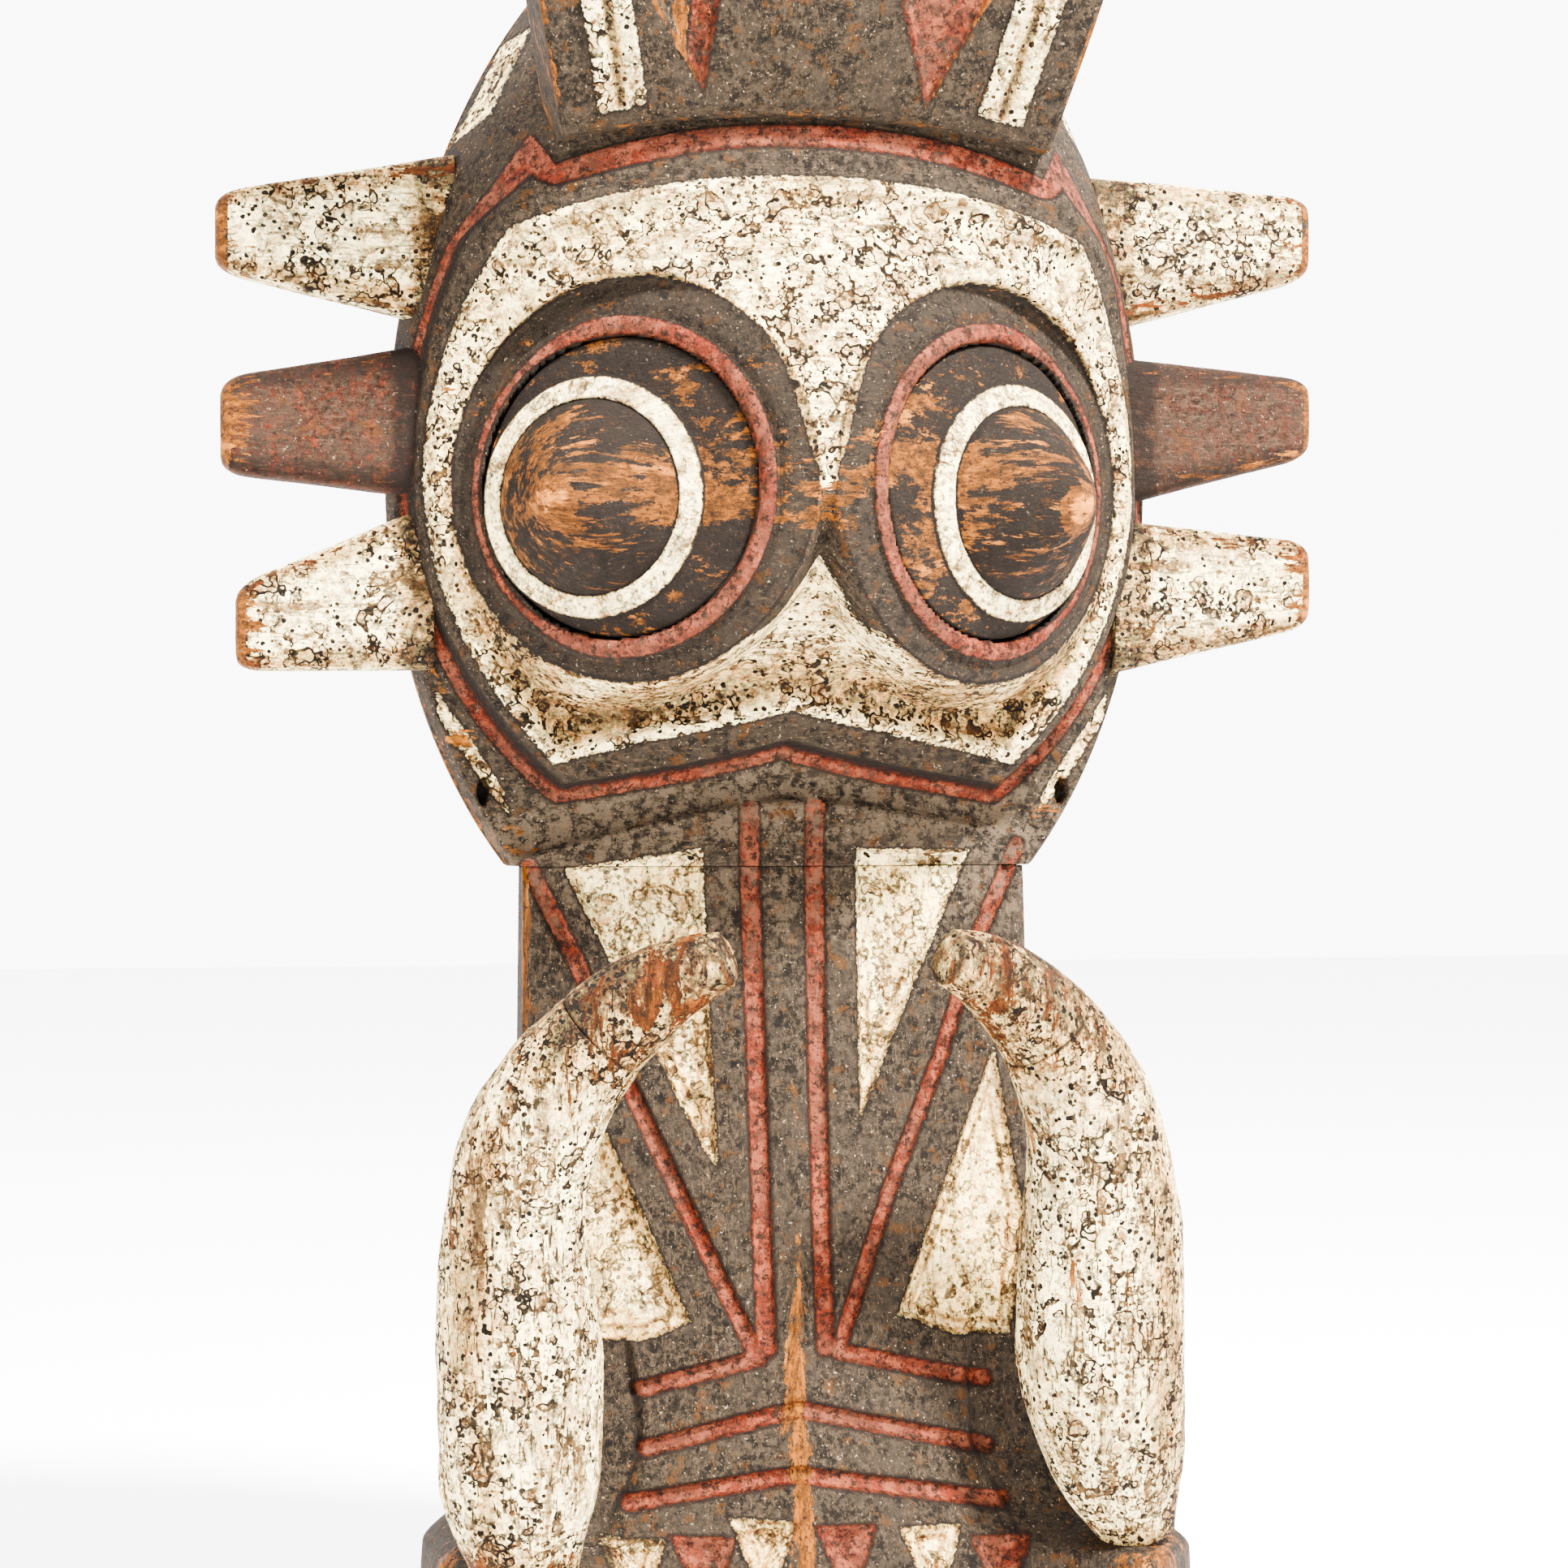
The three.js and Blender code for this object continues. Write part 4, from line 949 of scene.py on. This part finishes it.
def crest_decoration(x, z):
    """Cream double stripes along the outer edges and sunk wedges inside them, red and brown."""
    ax = np.abs(x)
    t = (z - 119) / 54
    stripe_middle = 71 + 11.5 * t + 1.5 * t * t
    stripe = np.minimum(9.5 - np.abs(ax - stripe_middle), np.minimum(z - 129 - 0.2 * (90 - ax), 286 - z))
    groove = bump(ax, stripe_middle, 2.2) * rise(-1, 2, stripe)
    left = [[-43, 139], [-40, 170], [-37, 205], [-52, 236], [-76, 270], [-92, 282], [-84, 232], [-66, 170]]
    right = [[44, 136], [63, 172], [85, 232], [93, 282], [77, 270], [53, 236], [38, 205], [30, 172]]
    wedge = np.maximum(polygon_distance(x, z, left), polygon_distance(x, z, right))
    inner_edge = 9.5 - (np.abs(x + 41) + 0.02 * (z - 139))
    red = np.where(x < 0, np.minimum(wedge, np.where(z < 205, inner_edge, 3)), wedge)
    return stripe, groove, wedge, red


def make_crest(material, across, up):
    grid, outline = crest_patch(across, up)
    x, z = grid[..., 0], grid[..., 1]
    inset = polygon_distance(x, z, outline)
    stripe, groove, wedge, red = crest_decoration(x, z)
    depth = crest_front_depth(z) - 2.2 * rise(3.2, 0, inset) ** 1.5
    depth = depth + 1.2 * rise(-0.8, 0.8, stripe) - 2.0 * groove
    depth = depth - 4.2 * rise(-0.5, 6, wedge)
    flat = listed(x, depth, z)
    depth = depth + (0.6 * wobble(flat, 34, 41) + 0.25 * wobble(flat, 8, 42)).reshape(x.shape)
    back = crest_front_depth(z) - crest_thickness(z) + 2.0 * rise(3.2, 0, inset) ** 1.5
    flat_back = listed(x, back, z)
    back = back + (1.3 * facets(flat_back, 16, 43) + 0.3 * wobble(flat_back, 9, 44) - 0.5).reshape(x.shape)

    edge = border(up, across)
    front_points = listed(x, depth, z)
    back_points = listed(x, back, z)
    rows = 14
    shares = np.linspace(0, 1, rows + 2)[1:-1]
    band = np.concatenate([lerp(front_points[edge], back_points[edge], t) for t in shares])
    points = np.vstack([front_points, back_points, band])
    count = across * up
    faces = grid_faces(up, across) + grid_faces(up, across, count, flip=True)
    loops = [edge] + [2 * count + r * len(edge) + np.arange(len(edge)) for r in range(rows)] + [edge + count]
    for a, b in zip(loops[:-1], loops[1:]):
        an, bn = np.roll(a, -1), np.roll(b, -1)
        faces += np.stack([an, a, b, bn], -1).tolist()

    worn_edge = 0.56 * rise(3.0, 0.6, inset) * rise(126, 142, z)
    worn_edge = np.maximum(worn_edge, 0.62 * bump(wedge, 0.5, 1.6) * rise(40, 50, np.abs(x)))
    worn_edge = np.maximum(worn_edge, 0.45 * rise(1, 3, wedge) * rise(0, -2, red))
    # Painted shade in the groove between the stripes, along the foot where the crest meets the head, and
    # round the edges of the sunk wedges.
    dirt = 0.8 * groove + 0.35 * rise(6, 0, inset) * rise(140, 120, z) + 0.55 * bump(wedge, 0.8, 1.2)
    fields = joined_fields((count, count, len(band)),
                           white=(stripe, -FAR, -FAR), red=(red, -FAR, -FAR),
                           bare=(worn_edge, 0.52, 0.30), dirt=(dirt, 0.2, 0.12))
    return make_piece("carved_crest", points, outward(points, faces), ["crest"],
                      material, fields)


# ---- muzzle ---------------------------------------------------------------------------------


def muzzle_depth(x, z):
    """The muzzle's front before it is carved: a low ridge, and a swelling under each tusk."""
    half_width, ridge, edge = (profile(p, z) for p in (MUZZLE_HALF_WIDTH, MUZZLE_RIDGE, MUZZLE_EDGE))
    across = np.minimum(1, np.abs(x - profile(MUZZLE_MIDDLE_X, z)) / half_width)
    boss = 44 * rise(-414, -426, z) * (1 - 0.55 * rise(-455, -492, z))
    return ridge - (ridge - edge) * across ** 1.15 + boss * bump(from_tusk_foot(x), 0, 24)


def from_tusk_foot(x):
    return np.minimum(*(np.abs(x - middle) for middle in TUSK_COLLAR_X))


# Carved lines and areas of the muzzle in its front view. No two sides were cut quite alike.
INNER_GROOVES = [[[-13, -134], [-12.5, -243], [-12, -347]], [[14, -134], [12, -243], [11.5, -347]]]
OUTER_GROOVES = [[[-101, -158], [-83, -195], [-65, -240], [-42, -292], [-17, -348]],
                 [[100, -150], [80, -192], [66, -232], [42, -286], [16.5, -349]]]
INNER_TRIANGLES = [[[-87, -159], [-32, -151], [-31, -200], [-29, -277], [-34, -270]],
                   [[31, -151], [79, -152], [29.5, -259]]]
OUTER_TRIANGLES = [[[-84, -232], [-72, -263], [-41, -337], [-58, -344], [-92, -345], [-98, -300]],
                   [[88, -232], [43, -336], [66, -345], [92, -347], [99, -300]]]
CHEVRONS = [[[-61, -363], [-15, -350.5]], [[17, -349], [80, -364]],
            [[-60, -385], [-1, -369.5], [79, -389]], [[-67, -405], [-2, -393.5], [83, -409]]]
# Middle, cream or red, and the height of the top edge of each small chip-cut triangle.
TEETH = [(-67, "cream", -417), (-40, "red", -416), (-17, "cream", -410), (15, "red", -412),
         (50, "cream", -415), (79, "red", -420)]


def muzzle_decoration(x, z):
    """Distances inside the red and the cream areas, and how deep the carving goes."""
    red = np.full(np.shape(x), -99.0)
    for line in INNER_GROOVES:
        red = np.maximum(red, 3.9 - line_distance(x, z, line))
    for line in OUTER_GROOVES + CHEVRONS:
        red = np.maximum(red, 3.3 - line_distance(x, z, line))
    cut = 3.2 * rise(-1.2, 2.2, red)
    white = np.full(np.shape(x), -99.0)
    for triangle in INNER_TRIANGLES + OUTER_TRIANGLES:
        inside = polygon_distance(x, z, triangle)
        white = np.maximum(white, inside)
        cut = cut + 3.8 * rise(-0.6, 2.6, inside) + 1.6 * rise(3, 10, inside)
    for middle, colour, top in TEETH:
        tooth = polygon_distance(x, z, [[middle - 13, top], [middle + 13, top - 1], [middle, top - 32]])
        cut = cut + 5.5 * rise(-0.6, 7, tooth)
        white = np.maximum(white, tooth) if colour == "cream" else white
        red = np.maximum(red, tooth) if colour == "red" else red
    return red, white, cut


def panel_edge(z):
    """Half the width of the raised panel that carries the chevrons."""
    return 66 + 14 * rise(-385, -420, z) + 3 * rise(-370, -345, z)


def muzzle_back(x, level):
    """Rows of points over the flat back and the trough hewn into it."""
    z = np.broadcast_to(level, x.shape)
    trough_half = profile([[-440, 80], [-350, 70], [-260, 66], [-185, 60]], level)
    trough_deep = profile([[-440, 62], [-350, 42], [-260, 26], [-185, 10]], level)
    inside = np.clip(1 - (np.abs(x) / trough_half) ** 3, 0, 1) ** 0.6
    span = rise(-183, -192, level) * rise(-442, -432, level)
    depth = 0.92 * trough_deep * inside * span
    hewn = (1.6 * facets(listed(x, depth, z), 15, 53)).reshape(x.shape) * rise(0, 5, depth)
    return np.stack([x, np.maximum(0, depth - hewn), z], -1)


def muzzle_wear(x, z, u, keel, over, red, white):
    """Where the front is rubbed to the wood, and where it holds stains and painted shade; near the top,
    paler dust that is partly painted light under the chin.
    """
    worn = 0.74 * keel + 0.15 * bump(over, -1, 3) * rise(-340, -352, z)
    worn = np.maximum(worn, 0.45 * rise(0.96, 0.99, np.abs(u))[None, :] + 0 * z)
    worn = np.maximum(worn, 0.42 * rise(-446, -470, z))
    worn = np.maximum(worn, 0.50 * rise(-416, -424, z) * bump(from_tusk_foot(x), 0, 36))
    # Painted shade along the grooves, inside the sunk triangles, at the panel's step and round the tusks'
    # feet.
    grimy_and_shaded = 0.55 * bump(red, 0.2, 0.9) + 0.3 * bump(red, -2.0, 1.6)
    grimy_and_shaded = grimy_and_shaded + 0.6 * bump(white, 0.2, 0.8) + 0.18 * bump(white, 2.5, 2.5)
    grimy_and_shaded = grimy_and_shaded + 0.5 * bump(white, 5.0, 1.0)
    grimy_and_shaded = grimy_and_shaded + 0.5 * bump(over, 1.5, 1.5) * rise(-340, -352, z)
    grimy_and_shaded = grimy_and_shaded + 0.5 * bump(z, -423, 5) * rise(40, 26, from_tusk_foot(x))
    # Paler dust near the top, partly painted light lifting the shade under the chin.
    return worn, grimy_and_shaded - 0.7 * rise(-225, -160, z)


def make_muzzle(material, levels_count, across, back_across):
    z_line = np.linspace(MUZZLE_TOP_Z, MUZZLE_END_Z, levels_count)
    u = np.linspace(-1, 1, across)
    z = np.broadcast_to(z_line[:, None], (levels_count, across))
    half_width = profile(MUZZLE_HALF_WIDTH, z_line)[:, None]
    middle = profile(MUZZLE_MIDDLE_X, z_line)[:, None]
    x = middle + half_width * u[None, :]
    depth = muzzle_depth(x, z)
    red, white, cut = muzzle_decoration(x, z)
    keel_width = 2.2 + 3.6 * rise(-300, -400, z)
    keel = bump(x - lerp(3, -2, rise(-281, -380, z)), 0, keel_width) * rise(-281, -330, z)
    over = np.abs(x - 5) - panel_edge(z)
    panel_drop = 4.5 * rise(-1.5, 2.0, over) * rise(-335, -350, z) * rise(-428, -412, z)
    shoulder = 3.5 * rise(0.955, 1.0, np.abs(u))[None, :] ** 1.5
    depth = depth - cut + 1.6 * keel - panel_drop - shoulder
    flat = listed(x, depth, z)
    depth = depth + (0.6 * wobble(flat, 36, 51) + 0.28 * wobble(flat, 9, 52)).reshape(x.shape)

    sides = 9
    side_share = np.linspace(1, 0, sides + 1)[1:]
    right, left = (np.stack([x[:, edge] + 0 * side_share, depth[:, edge] * side_share,
                             z[:, edge] + 0 * side_share], -1) for edge in (slice(-1, None), slice(0, 1)))
    from_right = np.linspace(1, -1, back_across + 2)[1:-1]
    back = muzzle_back(middle + half_width * from_right, z[:, :1])
    rings = np.concatenate([np.stack([x, depth, z], -1), right, back, left[:, ::-1]], 1)
    points, faces = capped_rings(rings)

    def around(front_values, side_value, back_value):
        values = np.concatenate([front_values, np.full((levels_count, sides), side_value),
                                 np.full((levels_count, back_across), back_value),
                                 np.full((levels_count, sides), side_value)], 1)
        return np.append(np.ravel(values), [side_value, side_value])

    worn, grimy_and_shaded = muzzle_wear(x, z, u, keel, over, red, white)
    fields = {"white": around(white, -FAR, -FAR), "red": around(red, -FAR, -FAR),
              "bare": around(worn, 0.25, 0.66), "dirt": around(grimy_and_shaded, 0.1, 0.4)}
    return make_piece("carved_muzzle", points, faces, ["muzzle"], material, fields)


# ---- tusks ----------------------------------------------------------------------------------


def catmull_rom(points, count):
    """Even parameters along a centripetal curve through the points."""
    points = np.asarray(points, float)
    last = len(points) - 1
    result = []
    for t in np.linspace(0, 1, count):
        place = t * last
        i = min(int(place), last - 1)
        w = place - i
        p1, p2 = points[i], points[i + 1]
        p0 = points[i - 1] if i > 0 else 2 * p1 - p2
        p3 = points[i + 2] if i + 2 <= last else 2 * p2 - p1
        d0, d1, d2 = (max(np.sum((b - a) ** 2) ** 0.25, 1e-6) for a, b in ((p0, p1), (p1, p2), (p2, p3)))
        t1 = ((p1 - p0) / d0 - (p2 - p0) / (d0 + d1) + (p2 - p1) / d1) * d1
        t2 = ((p2 - p1) / d1 - (p3 - p1) / (d1 + d2) + (p3 - p2) / d2) * d1
        result.append(p1 + t1 * w + (-3 * p1 + 3 * p2 - 2 * t1 - t2) * w ** 2
                      + (2 * p1 - 2 * p2 + t1 + t2) * w ** 3)
    return np.array(result)


def make_tusk_part(name, node, side, start, end, stations, around, material, seed):
    """A stretch of a tusk: a curved horn, a little flat across its depth, lumpy under thick paint."""
    line = TUSK_LINES[side]
    curve = catmull_rom([[x, -depth, z] for x, depth, z, _ in line], 401)
    at = np.linspace(start, end, stations)
    place = np.stack([np.interp(at, np.linspace(0, 1, 401), curve[:, k]) for k in range(3)], -1)
    ahead = np.gradient(place, axis=0)
    along = ahead / np.linalg.norm(ahead, axis=1)[:, None]
    right = np.cross(np.array([0.0, -1.0, 0.0]), along)
    right /= np.linalg.norm(right, axis=1)[:, None]
    forward = np.cross(along, right)
    radius = profile([[s, row[3]] for s, row in zip(np.linspace(0, 1, len(line)), line)], at)
    radius = radius * (1 - 0.30 * rise(0.982, 1.0, at) ** 2) * (1 - 0.022 * bump(at, TUSK_JOINT_AT, 0.005))
    angle = turn(around)
    rings = (place[:, None, :]
             + radius[:, None, None] * np.cos(angle)[None, :, None] * right[:, None, :]
             + 0.9 * radius[:, None, None] * np.sin(angle)[None, :, None] * forward[:, None, :])
    flat = rings.reshape(-1, 3)
    lumps = 0.045 * wobble(flat, 36, seed) + 0.018 * wobble(flat * [1, 1, 0.4], 9, seed + 1)
    lumps = lumps + 0.006 * wobble(flat, 2.5, seed + 2)
    rings = place[:, None, :] + (rings - place[:, None, :]) * (1 + lumps.reshape(stations, around, 1) - 0.02)
    x, depth, z = rings[..., 0], -rings[..., 1], rings[..., 2]
    points, faces = capped_rings(np.stack([x, depth, z], -1))
    t = np.broadcast_to(at[:, None], x.shape)
    bare = 0.18 + 0.30 * rise(0.56, 0.80, t) * rise(0.97, 0.90, t)
    bare = np.maximum(bare, 0.40 * bump(t, 0.985, 0.01))
    bare = np.maximum(bare, 0.34 * rise(-398, -425, z))
    # Darker at the joint, round the cut end, towards the tip and along the outer flank; towards the foot,
    # where it meets the muzzle, as painted shade.
    dirt = 0.5 * bump(t, TUSK_JOINT_AT, 0.003) + 0.4 * rise(-408, -424, z) + 0.10
    dirt = dirt + 0.42 * rise(0.50, 0.75, t)
    dirt = dirt + 0.5 * bump(t, 0.992, 0.004)
    outer = (x - place[:, None, 0]) / radius[:, None] * (-1 if side == "left" else 1)
    patches = wobble(listed(x, depth, 0.3 * z), 14, seed + 3).reshape(x.shape)
    dirt = dirt + 0.5 * bump(outer, 0.62, 0.28) * np.clip(0.6 + patches, 0, 1)
    fields = tube_fields(white=0 * t + FAR, red=0 * t - FAR, bare=bare, dirt=dirt)
    return make_piece(name, points, faces, [node], material, fields)


# ---- stage ----------------------------------------------------------------------------------


def make_camera():
    """A long lens at the hanging mask's own height, a little to its left."""
    azimuth, distance, seen_width = math.radians(-10.5), 1.5, 0.644
    target = Vector((0.0064, 0, (-125 + LIFT) * MM))
    data = bpy.data.cameras.new("camera")
    data.sensor_width = 36
    data.lens = data.sensor_width * distance / seen_width
    camera = bpy.data.objects.new("camera", data)
    camera.location = target + distance * Vector((math.sin(azimuth), -math.cos(azimuth), 0))
    camera.rotation_euler = (math.pi / 2, 0, azimuth)
    bpy.context.scene.collection.objects.link(camera)
    bpy.context.scene.camera = camera


def add_area(name, location, aim, size, power):
    """A round soft lamp aimed at a place."""
    data = bpy.data.lights.new(name, "AREA")
    data.shape = "DISK"
    data.size = size
    data.energy = power
    light = bpy.data.objects.new(name, data)
    light.location = location
    light.rotation_euler = (Vector(aim) - Vector(location)).to_track_quat("-Z", "Y").to_euler()
    bpy.context.scene.collection.objects.link(light)


def make_stage():
    """A pale floor that the mask just clears, the studio around it and two lamps."""
    floor_mesh = bpy.data.meshes.new("floor")
    reach, level = 6.0, cad_box[0].z - 0.004
    floor_mesh.from_pydata([(-reach, -reach, level), (reach, -reach, level), (reach, reach, level),
                            (-reach, reach, level)], [], [(0, 1, 2, 3)])
    floor = bpy.data.objects.new("floor", floor_mesh)
    bpy.context.scene.collection.objects.link(floor)
    n = Nodes(bpy.data.materials.new("pale_floor"))
    tone = n.mix(n.noise(400, 2), srgb(249, 249, 248), srgb(253, 253, 252))
    roughness = n.ramp(n.noise(300, 2), 0.3, 0.7, 0.85, 0.95)
    floor_mesh.materials.append(n.finish(tone, roughness, n.noise(60), 0.1, 0.2))

    make_world()
    middle = (0, -0.06, (-60 + LIFT) * MM)
    add_area("key", (0.75, -1.2, 1.6), middle, 0.35, 1150)
    add_area("fill", (-1.4, -1.5, -0.2), middle, 1.4, 42)


def make_world():
    """A white studio, brighter behind and above the mask than on the viewer's side."""
    world = bpy.data.worlds.new("studio")
    n = Nodes(world)
    direction = n.node("TexCoord", {}).outputs["Generated"]
    facing = n.node("VectorMath", {0: direction, 1: (0, 0.9, 0.8)}, operation="DOT_PRODUCT")
    brightness = n.ramp(facing.outputs["Value"], -0.2, 0.6, 2.2, 10)
    light = n.node("Background", {"Color": (1.0, 1.0, 1.0), "Strength": brightness})
    n.node("OutputWorld", {"Surface": light.outputs[0]})
    bpy.context.scene.world = world


# ---- assembly -------------------------------------------------------------------------------

make_camera()
make_stage()

across, upright = (160, 1000, 1000), (1000, 1000, 160)
head_paint = painted_wood("head_paint", across, streaks=0.6, soot=0.42, warm=0.35)
eye_paint = painted_wood("eye_paint", across, spots=0.7)
crest_paint = painted_wood("crest_paint", upright, soot=0.46)
muzzle_paint = painted_wood("muzzle_paint", upright, spots=0.85, soot=0.40, warm=0.7)
cream_paint = painted_wood("cream_paint", across, streaks=0.75, warm=0)
red_paint = painted_wood("red_paint", across, soot=0.58)
sooty_red_paint = painted_wood("sooty_red_paint", across, soot=0.66)
tusk_paint = painted_wood("tusk_paint", upright, streaks=1.0)
dowel = peg_wood("dowel")

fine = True
make_head(head_paint, 270 if fine else 150)
for eye_side in (-1, 1):
    make_eye(eye_side, eye_paint, 110, 220)
for spike_name in SPIKES:
    spike_paint = cream_paint
    if spike_name.endswith("middle"):
        spike_paint = red_paint if spike_name.startswith("left") else sooty_red_paint
    make_spike(spike_name, spike_paint, 90, 100)
make_crest(crest_paint, 240, 150)
make_muzzle(muzzle_paint, 270, 230, 60)
for tusk_name in TUSK_LINES:
    tusk_seed = 60 + len(tusk_name)
    make_tusk_part(f"carved_tusk_{tusk_name}", f"tusk_{tusk_name}", tusk_name, 0, TUSK_JOINT_AT - 0.002,
                   190, 120, tusk_paint, tusk_seed)
    make_tusk_part(f"carved_tusk_tip_{tusk_name}", f"tusk_tip_{tusk_name}", tusk_name, TUSK_JOINT_AT, 1,
                   90, 96, tusk_paint, tusk_seed)

for node_name, cad_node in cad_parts.items():
    if "peg" in node_name:
        cad_node.data.materials.clear()
        cad_node.data.materials.append(dowel)
